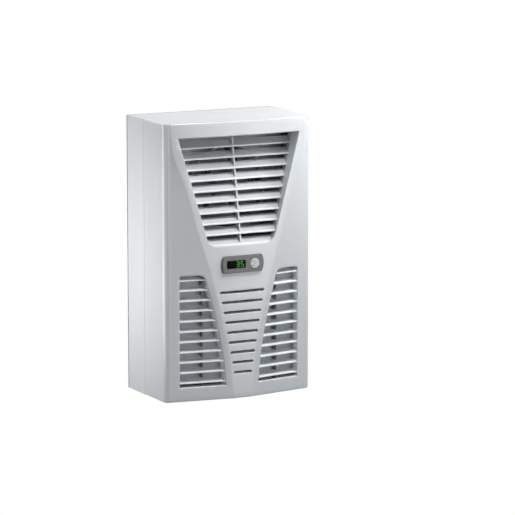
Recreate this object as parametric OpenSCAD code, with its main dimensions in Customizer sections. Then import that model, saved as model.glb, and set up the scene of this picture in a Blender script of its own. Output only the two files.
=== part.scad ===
// Wall-mounted cooling unit for an equipment cabinet. A sheet-steel rear shell holds the
// cold circuit, a moulded hood covers the warm circuit, and a plate parts the two.
// X runs left to right as seen from the front, Y from the front to the back and Z up.
// The origin is the middle of the rear mounting face, so the front looks towards -Y.
// Inside the modules heights are counted from the bottom edge of the casing.

/* [Casing] */
// Width of the casing
case_w = 320; // [300:1:360]
// Height of the casing
case_h = 550; // [540:1:600]
// Depth from the rear face to the front corners
case_d = 172; // [168:1:190]
// Depth of the rear shell, up to the seam
shell_d = 78; // [76:1:80]
// Thickness of the sheet steel
sheet_t = 1.5; // [1:0.1:1.8]
// Wall of the moulded hood
hood_t = 3; // [2.4:0.1:3.4]
// Radius of the two upright front corners
corner_r = 11; // [8:0.5:14]
// Radius of the hood's top and bottom edges
edge_r = 3; // [1:0.5:4]
// Width of the seam between shell and hood
seam_gap = 0.8; // [0.5:0.1:1.5]
// Clearance between pieces that fit into each other
fit_gap = 0.3; // [0.2:0.05:0.4]
// Inward lip at the front of the rear shell
lip_w = 10; // [9:0.5:12]

/* [Front relief] */
// How far the front stands out at the top
bow_top = 14; // [11:0.5:17]
// How far the front stands out at the bottom
bow_bottom = 20; // [17:0.5:22]
// Plain rim between the raised panel's edge and a window
rim_w = 13.5; // [11:0.5:16]

/* [Upper louvres] */
// Side of the casing to the window's upper corners
upper_side = 27; // [24:1:32]
// Top of the casing to the window
upper_top = 29; // [24:1:34]
// Height of the upper window
upper_h = 216; // [206:1:222]
// Radius of the window's lower corners
upper_r = 24; // [12:1:30]
// Number of upper blades
upper_blades = 10; // [8:1:11]
// What the blades leave free at the top of the window
upper_margin = 5; // [3:0.5:7]
// Recess of the uppermost blade
recess_top = 31; // [24:1:33]
// Recess of the lowest blade
recess_bottom = 4; // [3:0.5:8]
// Depth of an upper blade from front to back
upper_blade_d = 13; // [10:0.5:14]
// Height of an upper blade from front to back
upper_blade_rise = 11; // [9:0.5:13]
// Thickness of every blade
blade_t = 1.8; // [1.4:0.1:2.2]
// Height of the hem at a blade's front edge
hem_h = 2.2; // [1.8:0.1:3]

/* [Lower louvres] */
// Side of the casing to the lower windows
lower_side = 30; // [26:1:34]
// Bottom of the casing to the lower windows
lower_bottom = 28; // [24:1:32]
// Lower windows to the upper window
window_gap = 54; // [48:1:70]
// Radius of the lower windows' inner top corner
lower_r = 16; // [8:1:20]
// Least distance between lower blades
lower_pitch_min = 19; // [18.2:0.2:22]
// Depth of a lower blade from front to back
lower_blade_d = 20; // [16:0.5:22]
// Rise of a lower blade from front to back
lower_blade_rise = 3.5; // [2:0.5:5]
// Height of the turned-up rear edge of a lower blade
upstand_h = 12; // [8:0.5:13]
// Wall of the louvre frames
frame_t = 1.6; // [1.2:0.1:2]
// Width of the upright louvre ribs
rib_w = 3; // [2.5:0.5:4]

/* [Middle slots] */
// Bottom of the casing to the lowest slot, at least
slot_low = 48; // [44:1:60]
// Height of a slot
slot_h = 5.4; // [4:0.2:7]
// Distance between slots
slot_pitch = 20.1; // [18:0.1:20.5]
// Half the length of the longest slot
slot_half = 48.4; // [42:0.2:50]
// What each slot loses at each end against the one above
slot_step = 3.6; // [3:0.1:3.8]
// Middle of the controller to the first slot
slot_drop = 55.5; // [50:0.5:60]

/* [Controller] */
// Upper window to the middle of the controller
controller_drop = 37; // [32:0.5:40]
// Greatest width of the bezel
bezel_w = 92; // [88:1:96]
// Height of the bezel
bezel_h = 34.4; // [33:0.2:36]
// Thickness of the bezel
bezel_d = 4; // [3.6:0.1:5]
// How far each end of the bezel bulges
bezel_bulge = 4; // [2:0.5:5]
// Width of the display window
screen_w = 41; // [38:0.5:43]
// Height of the display window
screen_h = 16; // [14:0.5:18]
// Middle of the bezel to the middle of the display
screen_x = 15; // [14:0.5:16.5]
// Height of a digit
digit_h = 11.6; // [10:0.2:12.5]
// Width of a digit
digit_w = 6.6; // [5.5:0.1:7.5]
// Width of a lit segment
segment_w = 1.3; // [1:0.1:1.6]
// Radius of the round group of keys
key_r = 9.6; // [9:0.1:10.5]
// Middle of the bezel to the middle of the keys
key_x = 25.4; // [24.5:0.1:26.5]
// Travel of a key
key_travel = 0.8; // [0.4:0.1:1]
// Gap between two keys
key_gap = 0.7; // [0.5:0.1:1]
// Width of the controller's case
control_w = 71; // [69:0.5:74]
// Height of the controller's case
control_h = 28; // [26:0.5:29]
// Depth of the controller's case
control_d = 44; // [38:1:48]

/* [Rear face] */
// Thickness of the sealing strip
gasket_t = 3; // [2:0.5:4]
// Width of the stepped border that holds the strip
border_w = 16; // [14:1:18]
// Side of the casing to the mounting bolts
bolt_side = 35; // [32:1:40]
// Top or bottom of the casing to the mounting bolts
bolt_end = 30; // [27:1:40]
// Radius of a mounting nut's thread core
nut_bore_r = 2.5; // [2:0.25:3]
// Width of the cold-air outlet
outlet_w = 200; // [160:1:210]
// Height of the cold-air outlet
outlet_h = 56; // [40:1:60]
// Bottom of the casing to the cold-air outlet
outlet_z = 34; // [32:1:40]
// Radius of the drain nozzle
drain_r = 6; // [5:0.5:7]
// Length of the drain nozzle below the casing
drain_len = 14; // [10:1:18]

/* [Cold circuit] */
// Radius of the warm-air inlet's throat
inlet_r = 46; // [42:0.5:48]
// Top of the casing to the blower's axis
blower_drop = 142; // [130:1:150]
// Radius of the blower wheel
wheel_r = 74; // [70:1:80]
// Number of blower blades
wheel_blades = 9; // [7:1:11]
// Bottom of the casing to the evaporator
evap_z = 170; // [160:1:180]
// Side of the casing to the evaporator's fins
evap_side = 44; // [42:1:54]
// Spacing of the fins
fin_pitch = 8; // [7:0.5:12]
// Thickness of a fin
fin_t = 0.5; // [0.4:0.1:0.8]
// Radius of the coil tubes
coil_r = 4; // [3.5:0.25:4.5]

/* [Warm circuit] */
// Side of the casing to the condenser's fins
cond_side = 56; // [54:1:64]
// Depth of the condenser
cond_d = 20; // [18:0.5:21]
// Distance between the condenser's tubes
cond_pitch = 28; // [25:0.5:28]
// Radius of the axial fan
fan_r = 78; // [72:0.5:80]
// Depth of the axial fan's blades
fan_d = 17; // [14:0.5:18]
// Number of axial blades
fan_blades = 5; // [4:1:7]
// Radius of the compressor
comp_r = 43; // [38:0.5:44]
// Height of the compressor
comp_h = 148; // [130:1:155]
// Radius of the discharge and liquid pipes
pipe_r = 3.2; // [2.5:0.1:4]
// Radius of the suction pipe
suction_r = 4.8; // [4:0.1:5]
// Radius of the filter drier
drier_r = 10; // [8:0.5:11]
// Length of the filter drier
drier_len = 84; // [70:1:90]

/* [Electrics] */
// Side of the casing to the electronics box
ebox_side = 14; // [12:1:20]
// Height of the electronics box
ebox_h = 150; // [140:1:156]
// Depth of the electronics box
ebox_d = 43; // [40:0.5:46]
// Radius of the run capacitor
cap_r = 15; // [12:0.5:16]

/* [Hidden] */
$fn = 48;

// Every cut runs this far past the face it opens
over = 1;
// Clearance of a wheel's bore on its shaft
run_gap = 0.05;

// Casing planes
half_w = case_w / 2;
y_lip = -shell_d;
y_plate = y_lip - sheet_t;
y_hood = y_lip - seam_gap;
corner_x = half_w - corner_r;
hood_in_x = half_w - hood_t;

// Raised panel: share of the height, share of the half width of its edge
v_shares = [[0, 0.12], [0.06, 0.142], [0.18, 0.188], [0.33, 0.3], [0.465, 0.425],
    [0.6, 0.572], [0.707, 0.673], [0.784, 0.752], [0.842, 0.834], [0.89, 0.888],
    [0.94, 0.917], [1, 0.928]];
// Exponent of the bow across the width
bow_power_share = 2.5;
// Steps of the hood's surface up the front, across the panel and round a corner
front_rows = 18;
panel_steps = 12;
corner_steps = 5;
edge_steps = 3;

function v_index(s) = max([for (i = [0 : len(v_shares) - 2]) if (s >= v_shares[i][0]) i]);
function v_slope(i) =
    let (a = v_shares[max(i - 1, 0)], b = v_shares[min(i + 1, len(v_shares) - 1)])
    (b[1] - a[1]) / (b[0] - a[0]);
// Smooth curve through the shares, each piece a cubic between two of them
function v_share(s) =
    let (i = v_index(s), a = v_shares[i], b = v_shares[i + 1])
    let (h = b[0] - a[0], t = (s - a[0]) / h)
    (2 * t ^ 3 - 3 * t ^ 2 + 1) * a[1] + (t ^ 3 - 2 * t ^ 2 + t) * h * v_slope(i)
        + (3 * t ^ 2 - 2 * t ^ 3) * b[1] + (t ^ 3 - t ^ 2) * h * v_slope(i + 1);
function v_half(z) = half_w * v_share(min(max(z / case_h, 0), 1));

// How far the front stands out of the plane of its corners, at x and z
function bow(z) = bow_bottom + (bow_top - bow_bottom) * z / case_h;
function panel_out(x, z) = bow(z) * (1 - (abs(x) / half_w) ^ bow_power_share);
function front_out(x, z) =
    let (v = v_half(z))
    abs(x) <= v ? panel_out(x, z)
        : abs(x) >= corner_x ? 0
        : panel_out(v, z) * (corner_x - abs(x)) / (corner_x - v);
function front_y(x, z) = -case_d - front_out(x, z);

// One level of the hood's form, drawn in by inset
function corner_arc(side, inset) = [for (k = [0 : corner_steps])
    let (a = side > 0 ? -90 * k / corner_steps : -90 - 90 * k / corner_steps)
    [side * corner_x + (corner_r - inset) * cos(a),
        corner_r - case_d + (corner_r - inset) * sin(a)]];
function level(z, inset, y_back) = [for (p = concat(
    [[half_w - inset, y_back]],
    corner_arc(1, inset),
    [for (k = [0 : panel_steps])
        let (x = v_half(z) * (1 - 2 * k / panel_steps))
        [x, front_y(x, z) + inset]],
    corner_arc(-1, inset),
    [[inset - half_w, y_back]])) [p[0], p[1], z]];

// A closed skin through a stack of levels, from the lowest to the highest
module loft(levels) {
    n = len(levels[0]);
    m = len(levels);
    polyhedron(
        points = [for (ring = levels) for (p = ring) p],
        faces = concat(
            [[for (k = [0 : n - 1]) n - 1 - k]],
            [[for (k = [0 : n - 1]) n * (m - 1) + k]],
            [for (j = [0 : m - 2]) for (k = [0 : n - 1])
                [n * j + k, n * j + (k + 1) % n, n * (j + 1) + (k + 1) % n]],
            [for (j = [0 : m - 2]) for (k = [0 : n - 1])
                [n * j + k, n * (j + 1) + (k + 1) % n, n * (j + 1) + k]]));
}
module hood_form() {
    turns = [for (k = [0 : edge_steps]) 90 * k / edge_steps];
    low = [for (a = turns) [edge_r * (1 - cos(a)), edge_r * (1 - sin(a))]];
    high = [for (a = turns) [case_h - edge_r * (1 - sin(a)), edge_r * (1 - cos(a))]];
    mid = [for (j = [1 : front_rows - 1])
        [edge_r + (case_h - 2 * edge_r) * j / front_rows, 0]];
    loft([for (r = concat(low, mid, high)) level(r[0], r[1], y_hood)]);
}
module hood_hollow(inset) {
    loft([for (j = [0 : front_rows])
        level(inset + (case_h - 2 * inset) * j / front_rows, inset, y_hood + over)]);
}

// Arc of radius r that rounds the corner b between the edges to a and c
function fillet(a, b, c, r, steps = 6) =
    let (u = (a - b) / norm(a - b), w = (c - b) / norm(c - b))
    let (half = acos(u * w) / 2, mid = (u + w) / norm(u + w))
    let (m = b + mid * r / sin(half), p = b + u * r / tan(half) - m, q = b + w * r / tan(half) - m)
    let (from = atan2(p[1], p[0]), turn = atan2(p[0] * q[1] - p[1] * q[0], p * q))
    [for (k = [0 : steps]) m + r * [cos(from + turn * k / steps), sin(from + turn * k / steps)]];

// Upper window, seen from the front and drawn in by inset
upper_z1 = case_h - upper_top;
upper_z0 = upper_z1 - upper_h;
upper_half1 = half_w - upper_side;
upper_half0 = v_half(upper_z0) - rim_w;
tip_r = 2;
// The sloping sides move in along X by the inset and the slant of the side
upper_lean = (upper_half1 - upper_half0) / upper_h;
function upper_outline(inset) =
    let (grow = inset * (norm([1, upper_lean]) - upper_lean))
    let (top = upper_half1 - grow - upper_lean * inset)
    let (low = upper_half0 - grow + upper_lean * inset)
    let (a = [top, upper_z1 - inset], b = [low, upper_z0 + inset])
    let (c = [-low, upper_z0 + inset], d = [-top, upper_z1 - inset])
    let (tip = max(tip_r - inset, tip_r / 4))
    concat(fillet(b, a, d, tip, 2), fillet(a, d, c, tip, 2),
        fillet(d, c, b, upper_r - inset), fillet(c, b, a, upper_r - inset));

// Right lower window: its inner edge keeps the rim's width beside the raised panel
lower_z0 = lower_bottom;
lower_z1 = upper_z0 - window_gap;
lower_h = lower_z1 - lower_z0;
lower_out_x = half_w - lower_side;
lower_tip_r = 5;
lower_steps = 8;
// Length of the straight run into the inner top corner, as a share of its radius
run_in_share = 1.2;
function lower_edge(z, inset) = [v_half(z) + rim_w + inset, z];
function lower_outline(inset) =
    let (z0 = lower_z0 + inset, z1 = lower_z1 - inset, xo = lower_out_x - inset)
    let (zt = z1 - lower_r * run_in_share, a = lower_edge(zt, inset))
    let (b = a + (a - lower_edge(zt - lower_r, inset)) * (z1 - zt) / lower_r)
    concat([[xo, z0]],
        [for (k = [0 : lower_steps]) lower_edge(z0 + (zt - z0) * k / lower_steps, inset)],
        fillet(a, b, [xo, z1], lower_r - inset),
        fillet(b, [xo, z1], [xo, z0], lower_tip_r - inset, 4));

// Bezel outline with bulging ends, drawn in by inset
bezel_r = 3;
bezel_steps = 6;
function bezel_end(side, inset) = [for (k = [-bezel_steps + 1 : bezel_steps - 1])
    let (s = k / bezel_steps, h = bezel_h / 2 - inset)
    [side * (bezel_w / 2 - inset - bezel_bulge * s * s), side * s * h]];
function bezel_corner(sx, sz, inset) = let (h = bezel_h / 2 - inset, w = bezel_w / 2 - inset)
    fillet([sx * w, 0], [sx * (w - bezel_bulge), sz * h], [0, sz * h], bezel_r - inset, 3);
function flip(list) = [for (k = [len(list) - 1 : -1 : 0]) list[k]];
function bezel_outline(inset) = concat(
    bezel_end(1, inset), bezel_corner(1, 1, inset),
    flip(bezel_corner(-1, 1, inset)), bezel_end(-1, inset),
    bezel_corner(-1, -1, inset), flip(bezel_corner(1, -1, inset)));

// Solids that many modules use
module up() {
    translate([0, 0, -case_h / 2]) children();
}
// An outline seen from the front, from y_back towards the front
module y_prism(y_back, depth) {
    translate([0, y_back, 0]) rotate([90, 0, 0]) linear_extrude(depth) children();
}
module y_rod(x, z, r, y_back, depth) {
    translate([x, y_back, z]) rotate([90, 0, 0]) cylinder(r = r, h = depth);
}
module x_rod(x, y, z, r, length) {
    translate([x, y, z]) rotate([0, 90, 0]) cylinder(r = r, h = length);
}
// A block given by its two corners
module block(a, b) {
    translate([for (k = [0 : 2]) min(a[k], b[k])])
        cube([for (k = [0 : 2]) abs(b[k] - a[k])]);
}
// Flat shape with rounded corners, centred
module rounded(w, h, r) {
    square([w - 2 * r, h], center = true);
    square([w, h - 2 * r], center = true);
    for (sx = [-1, 1]) for (sy = [-1, 1])
        translate([sx * (w / 2 - r), sy * (h / 2 - r)]) circle(r);
}
function unit(v) = v / norm(v);
// A pipe along points, with bends of one radius at its square corners
module pipe(points, r, bend) {
    n = len(points);
    for (i = [0 : n - 2]) {
        d = unit(points[i + 1] - points[i]);
        a = points[i] + (i > 0 ? bend : 0) * d;
        b = points[i + 1] - (i < n - 2 ? bend : 0) * d;
        translate(a) rotate([0, acos(d[2]), atan2(d[1], d[0])])
            cylinder(r = r, h = norm(b - a));
    }
    if (n > 2) for (i = [1 : n - 2]) {
        d1 = unit(points[i] - points[i - 1]);
        d2 = unit(points[i + 1] - points[i]);
        up_axis = cross(d1, d2);
        c = points[i] - bend * d1 + bend * d2;
        multmatrix([
            [-d2[0], d1[0], up_axis[0], c[0]],
            [-d2[1], d1[1], up_axis[1], c[1]],
            [-d2[2], d1[2], up_axis[2], c[2]],
            [0, 0, 0, 1]])
            rotate_extrude(angle = 90) translate([bend, 0]) circle(r);
    }
}
// A side-view outline of Y and Z, from x0 towards the right
module x_prism(x0, length) {
    translate([x0, 0, 0]) rotate([90, 0, 90]) linear_extrude(length) children();
}

// Rear shell: stepped back plate, four walls and a lip, folded from sheet steel
panel_x = half_w - border_w;
nut_r = 4.5;
nut_collar_r = 7;
nut_collar_t = 4;
nut_len = 14;
inlet_lip_r = 8;
inlet_z = case_h - blower_drop;
outlet_r = 8;
socket_w = 48;
socket_h = 13;
socket_wall = 2;
socket_d = 18;
socket_side = 62;
socket_x = half_w - socket_side;
socket_drop = 60;
drain_y = 38;
drain_bore = 4;
drain_cone = 1;
drain_step = 0.7;
drain_neck_r = drain_r + drain_step;
bolt_x = half_w - bolt_side;
module rear_outline(inset) {
    block([inset - half_w, y_lip, inset], [half_w - inset, -gasket_t - inset, case_h - inset]);
    block([inset - panel_x, y_lip, border_w + inset],
        [panel_x - inset, -inset, case_h - border_w - inset]);
}
module socket_outline(grow) {
    translate([-socket_x, case_h - socket_drop])
        rounded(socket_w + 2 * grow, socket_h + 2 * grow, socket_wall);
}
module rear_shell() {
    mouth_x = half_w - sheet_t - lip_w;
    color("gainsboro") up() difference() {
        rear_outline(0);
        difference() {
            rear_outline(sheet_t);
            block([-half_w, y_lip - over, 0], [half_w, y_lip + sheet_t, case_h]);
        }
        block([-mouth_x, y_lip - over, sheet_t + lip_w],
            [mouth_x, y_lip + sheet_t + over, case_h - sheet_t - lip_w]);
        y_rod(0, inlet_z, inlet_r + inlet_lip_r, over, sheet_t + 2 * over);
        y_prism(over, sheet_t + 2 * over)
            translate([0, outlet_z + outlet_h / 2]) rounded(outlet_w, outlet_h, outlet_r);
        y_prism(over, sheet_t + 2 * over) socket_outline(socket_wall + fit_gap);
        for (sx = [-1, 1]) for (sz = [-1, 1])
            y_rod(sx * bolt_x, case_h / 2 + sz * (case_h / 2 - bolt_end), nut_r, over,
                sheet_t + 2 * over);
        translate([0, -drain_y, -over])
            cylinder(r = drain_neck_r + fit_gap, h = sheet_t + 2 * over);
        for (p = plate_screw_places())
            y_rod(p[0], p[1], plate_screw_r, y_lip + sheet_t + over, sheet_t + 2 * over);
    }
}

// Foam strip in the stepped border, flush with the mounting face
gasket_side_gap = 0.5;
module rear_gasket() {
    in_x = panel_x + gasket_side_gap;
    in_z = border_w - gasket_side_gap;
    color("dimgray") up() difference() {
        block([-half_w, -gasket_t, 0], [half_w, 0, case_h]);
        block([-in_x, -gasket_t - over, in_z], [in_x, over, case_h - in_z]);
    }
}

// Riveted nuts, flush with the mounting face and upset behind the plate
module mounting_nuts() {
    color("silver") up() for (sx = [-1, 1]) for (sz = [-1, 1]) {
        x = sx * bolt_x;
        z = case_h / 2 + sz * (case_h / 2 - bolt_end);
        difference() {
            union() {
                y_rod(x, z, nut_r, 0, nut_len);
                y_rod(x, z, nut_collar_r, -sheet_t, nut_collar_t);
            }
            y_rod(x, z, nut_bore_r, over, nut_len + 2 * over);
        }
    }
}

// Nozzle for the drain hose, put through the shell's floor from inside
drain_flange_r = 12;
drain_flange_t = 2.5;
module drain_nozzle() {
    color("whitesmoke") up() translate([0, -drain_y, 0]) difference() {
        union() {
            translate([0, 0, -drain_len]) cylinder(r = drain_r, h = drain_len - drain_cone);
            translate([0, 0, -drain_cone])
                cylinder(r1 = drain_r, r2 = drain_neck_r, h = drain_cone);
            cylinder(r = drain_neck_r, h = sheet_t + drain_flange_t);
            translate([0, 0, sheet_t]) cylinder(r = drain_flange_r, h = drain_flange_t);
        }
        translate([0, 0, -drain_len - over])
            cylinder(r = drain_bore, h = drain_len + sheet_t + drain_flange_t + 2 * over);
    }
}

// Partition between the circuits, with a rim that reaches into the hood
rim_d = 14;
plate_x = hood_in_x - fit_gap;
plate_z0 = hood_t + fit_gap;
plate_z1 = case_h - hood_t - fit_gap;
tab_w = 22;
tab_t = 3;
tab_x = 90;
tab_y = y_plate - rim_d / 2;
hood_screw_x = 110;
hood_screw_r = 2;
hood_screw_y = y_plate - rim_d / 2;
plate_screw_r = 1.8;
plate_screw_head_r = 3.2;
plate_screw_head_t = 2.4;
plate_screw_len = 7;
plate_screw_x = plate_x - sheet_t - plate_screw_head_r - sheet_t / 2;
plate_screw_shares = [0.12, 0.5, 0.88];
function plate_screw_places() = [for (sx = [-1, 1]) for (s = plate_screw_shares)
    [sx * plate_screw_x, case_h * s]];
pipe_hole_gap = 1.5;
module pipe_holes(y_back, depth) {
    y_rod(-capillary_x, capillary_z, capillary_r + pipe_hole_gap, y_back, depth);
    y_rod(-suction_x, suction_z, suction_r + pipe_hole_gap, y_back, depth);
}
module partition_plate() {
    color("silver") up() difference() {
        block([-plate_x, y_plate - rim_d, plate_z0], [plate_x, y_lip, plate_z1]);
        block([sheet_t - plate_x, y_plate - rim_d - over, plate_z0 + sheet_t],
            [plate_x - sheet_t, y_plate, plate_z1 - sheet_t]);
        for (sx = [-1, 1]) {
            translate([sx * tab_x, tab_y, plate_z1])
                cube([tab_w + 2 * fit_gap, tab_t + 2 * fit_gap, 2 * sheet_t + over],
                    center = true);
            translate([sx * hood_screw_x, hood_screw_y, plate_z0 - over])
                cylinder(r = hood_screw_r, h = sheet_t + 2 * over);
        }
        for (p = plate_screw_places())
            y_rod(p[0], p[1], plate_screw_r, y_lip + over, sheet_t + 2 * over);
        pipe_holes(y_lip + over, sheet_t + 2 * over);
    }
}
module partition_screws() {
    color("gray") up() for (p = plate_screw_places()) difference() {
        union() {
            y_rod(p[0], p[1], plate_screw_head_r, y_plate, plate_screw_head_t);
            y_rod(p[0], p[1], plate_screw_r, y_plate + plate_screw_len, plate_screw_len);
        }
        y_rod(p[0], p[1], plate_screw_r / 2, y_plate - plate_screw_head_t / 2,
            plate_screw_head_t);
    }
}

// Foam panel on the cold side of the partition
foam_t = 5;
foam_x = half_w - sheet_t - lip_w - fit_gap;
module insulation_panel() {
    foam_z = sheet_t + lip_w + fit_gap;
    color("slategray") up() difference() {
        block([-foam_x, y_lip, foam_z], [foam_x, y_lip + foam_t, case_h - foam_z]);
        y_rod(0, inlet_z, blower_base_r + fit_gap, y_lip + foam_t + over, foam_t + 2 * over);
        pipe_holes(y_lip + foam_t + over, foam_t + 2 * over);
    }
}

// Hood: one moulding with the bowed front, the raised panel, windows and slots
controller_z = upper_z0 - controller_drop;
slot_z = controller_z - slot_drop;
slot_count = floor((slot_z - slot_low) / slot_pitch) + 1;
y_bezel = front_y(0, controller_z - bezel_h / 2) - 2 * run_gap;
front_reach = case_d + 2 * bow_bottom;
module slot(half_len) {
    square([2 * (half_len - slot_h / 2), slot_h], center = true);
    for (side = [-1, 1]) translate([side * (half_len - slot_h / 2), 0]) circle(slot_h / 2);
}
module windows() {
    polygon(upper_outline(0));
    polygon(lower_outline(0));
    mirror([1, 0]) polygon(lower_outline(0));
    for (k = [0 : slot_count - 1])
        translate([0, slot_z - k * slot_pitch]) slot(slot_half - k * slot_step);
    translate([0, controller_z])
        square([control_w + 2 * fit_gap, control_h + 2 * fit_gap], center = true);
}
// Guard behind a slot: a shelf from its lower edge that climbs to the back
guard_d = 6;
guard_rise = 2.5;
guard_t = 1.6;
guard_side = 3;
module slot_guard(z, half_len) {
    end = half_len + guard_side;
    y = front_y(end, z) + hood_t / 3;
    low = z - slot_h / 2;
    x_prism(-end, 2 * end) polygon([[y, low], [y + guard_d, low + guard_rise],
        [y + guard_d, low + guard_rise - guard_t], [y, low - guard_t]]);
}
module hood() {
    color("gainsboro") up() {
        difference() {
            hood_form();
            hood_hollow(hood_t);
            y_prism(y_hood - 2 * rim_d, front_reach) windows();
            for (sx = [-1, 1]) translate([sx * hood_screw_x, hood_screw_y, -over])
                cylinder(r = hood_screw_r + fit_gap, h = hood_t + 2 * over);
        }
        for (sx = [-1, 1]) block([sx * tab_x - tab_w / 2, tab_y - tab_t / 2, plate_z1 - rim_d],
            [sx * tab_x + tab_w / 2, tab_y + tab_t / 2, case_h - hood_t / 2]);
        for (k = [0 : slot_count - 1])
            slot_guard(slot_z - k * slot_pitch, slot_half - k * slot_step);
    }
}
hood_screw_head_r = 3.8;
hood_screw_head_t = 2.4;
hood_screw_len = 12;
module hood_screws() {
    color("gray") up() for (sx = [-1, 1]) translate([sx * hood_screw_x, hood_screw_y, 0])
        difference() {
            union() {
                translate([0, 0, -hood_screw_head_t])
                    cylinder(r = hood_screw_head_r, h = hood_screw_head_t);
                cylinder(r = hood_screw_r, h = hood_screw_len);
            }
            translate([0, 0, -hood_screw_head_t - over])
                cylinder(r = hood_screw_r / 2, h = hood_screw_head_t + over, $fn = 6);
        }
}

// Upper louvres: a frame behind the window whose blades lean back towards the top
y_lean1 = front_y(upper_half1, upper_z1) + recess_top;
y_lean0 = front_y(0, upper_z0) + recess_bottom;
function lean_y(z) = y_lean0 + (y_lean1 - y_lean0) * (z - upper_z0) / upper_h;
upper_pitch = (upper_h - upper_margin) / upper_blades;
rib_set_back = 1;
blade_join = 0.4;
module upper_blade(z) {
    y = lean_y(z);
    drop = blade_t * norm([1, upper_blade_rise / upper_blade_d]);
    x_prism(-upper_half1, 2 * upper_half1) polygon([
        [y, z], [y, z + hem_h],
        [y + upper_blade_d, z + hem_h + upper_blade_rise],
        [y + upper_blade_d, z + hem_h + upper_blade_rise - drop],
        [y + blade_t, z + hem_h - drop / 2], [y + blade_t, z]]);
}
module upper_louvres() {
    z_low = upper_z0 - frame_t;
    z_high = upper_z1 + frame_t;
    color("gainsboro") up() {
        intersection() {
            y_prism(y_plate, front_reach) difference() {
                polygon(upper_outline(-frame_t));
                polygon(upper_outline(fit_gap + blade_join));
            }
            x_prism(-half_w, case_w) polygon([
                [lean_y(z_low) + upper_blade_d, z_low],
                [lean_y(z_high) + upper_blade_d, z_high],
                [-front_reach, z_high], [-front_reach, z_low]]);
            hood_hollow(hood_t + fit_gap);
        }
        intersection() {
            y_prism(y_plate, front_reach) polygon(upper_outline(fit_gap));
            union() {
                for (k = [0 : upper_blades - 1]) upper_blade(upper_z0 + k * upper_pitch);
                x_prism(-rib_w / 2, rib_w) polygon([
                    [lean_y(upper_z0) + rib_set_back, upper_z0],
                    [lean_y(upper_z1) + rib_set_back, upper_z1],
                    [lean_y(upper_z1) + upper_blade_d, upper_z1],
                    [lean_y(upper_z0) + upper_blade_d, upper_z0]]);
            }
        }
    }
}

// Lower louvres: level blades with a turned-up rear edge, square to the side facet
facet_in = lower_edge(lower_z0, 0)[0];
facet_turn = atan((front_out(facet_in, lower_z0) - front_out(lower_out_x, lower_z0))
    / (lower_out_x - facet_in));
blade_set_back = 0.8;
lower_margin = 9.4;
lower_steps_up = floor((lower_h - 2 * lower_margin) / lower_pitch_min);
lower_pitch = (lower_h - 2 * lower_margin) / lower_steps_up;
gusset_in = 48;
gusset_share = 0.6;
module on_facet() {
    translate([lower_out_x, front_y(lower_out_x, lower_z0), 0])
        rotate([0, 0, facet_turn]) children();
}
module lower_blade(z) {
    back = blade_set_back + lower_blade_d;
    top = z + lower_blade_rise;
    x_prism(-lower_out_x, 2 * lower_out_x) polygon([
        [blade_set_back, z], [blade_set_back, z - blade_t], [back, top - blade_t],
        [back, top + upstand_h], [back - blade_t, top + upstand_h], [back - blade_t, top]]);
}
module gusset(z) {
    low = z - blade_t - (lower_pitch - blade_t) * gusset_share;
    x_prism(-gusset_in - rib_w / 2, rib_w)
        polygon([[4 * blade_t, z - blade_t / 2], [4 * blade_t, low],
            [lower_blade_d, low], [lower_blade_d, z - blade_t / 2]]);
}
module lower_louvres() {
    up() {
        intersection() {
            y_prism(y_plate, front_reach) difference() {
                polygon(lower_outline(-frame_t));
                polygon(lower_outline(fit_gap + blade_join));
            }
            on_facet() block([-case_w, -bow_bottom, 0],
                [case_w, blade_set_back + lower_blade_d, case_h]);
            hood_hollow(hood_t + fit_gap);
        }
        intersection() {
            y_prism(y_plate, front_reach) polygon(lower_outline(fit_gap));
            on_facet() for (k = [0 : lower_steps_up]) {
                z = lower_z1 - lower_margin - k * lower_pitch;
                lower_blade(z);
                gusset(z);
            }
        }
    }
}
module right_louvres() {
    color("gainsboro") lower_louvres();
}
module left_louvres() {
    color("gainsboro") mirror([1, 0, 0]) lower_louvres();
}

// Controller: bezel on the hood, case behind it, window, digits and four keys
window_t = 1.2;
window_set_back = 0.5;
digit_t = 0.6;
key_proud = 1;
key_flange_t = 0.8;
key_flange_w = 1.2;
bezel_step_d = 1.4;
bezel_step_w = 1.2;
pocket_d = key_travel + key_flange_t + fit_gap + run_gap;
module at_bezel() {
    translate([0, 0, controller_z]) children();
}
module key_hole(r, y_back, depth) {
    y_rod(key_x, 0, r, y_back, depth);
}
module controller_bezel() {
    color("gray") up() at_bezel() difference() {
        union() {
            y_prism(y_bezel, bezel_d - bezel_step_d) polygon(bezel_outline(0));
            y_prism(y_bezel, bezel_d) polygon(bezel_outline(bezel_step_w));
        }
        translate([-screen_x, 0, 0]) y_prism(y_bezel + over, bezel_d + 2 * over)
            rounded(screen_w + 2 * fit_gap, screen_h + 2 * fit_gap, bezel_step_w);
        key_hole(key_r + fit_gap, y_bezel + over, bezel_d + 2 * over);
        key_hole(key_r + key_flange_w + fit_gap, y_bezel + over, pocket_d + over);
    }
}
y_window = y_bezel - bezel_d + window_set_back;
module display_window() {
    color("black") up() at_bezel() translate([-screen_x, 0, 0])
        y_prism(y_window + window_t, window_t) rounded(screen_w, screen_h, bezel_step_w);
}

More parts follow.
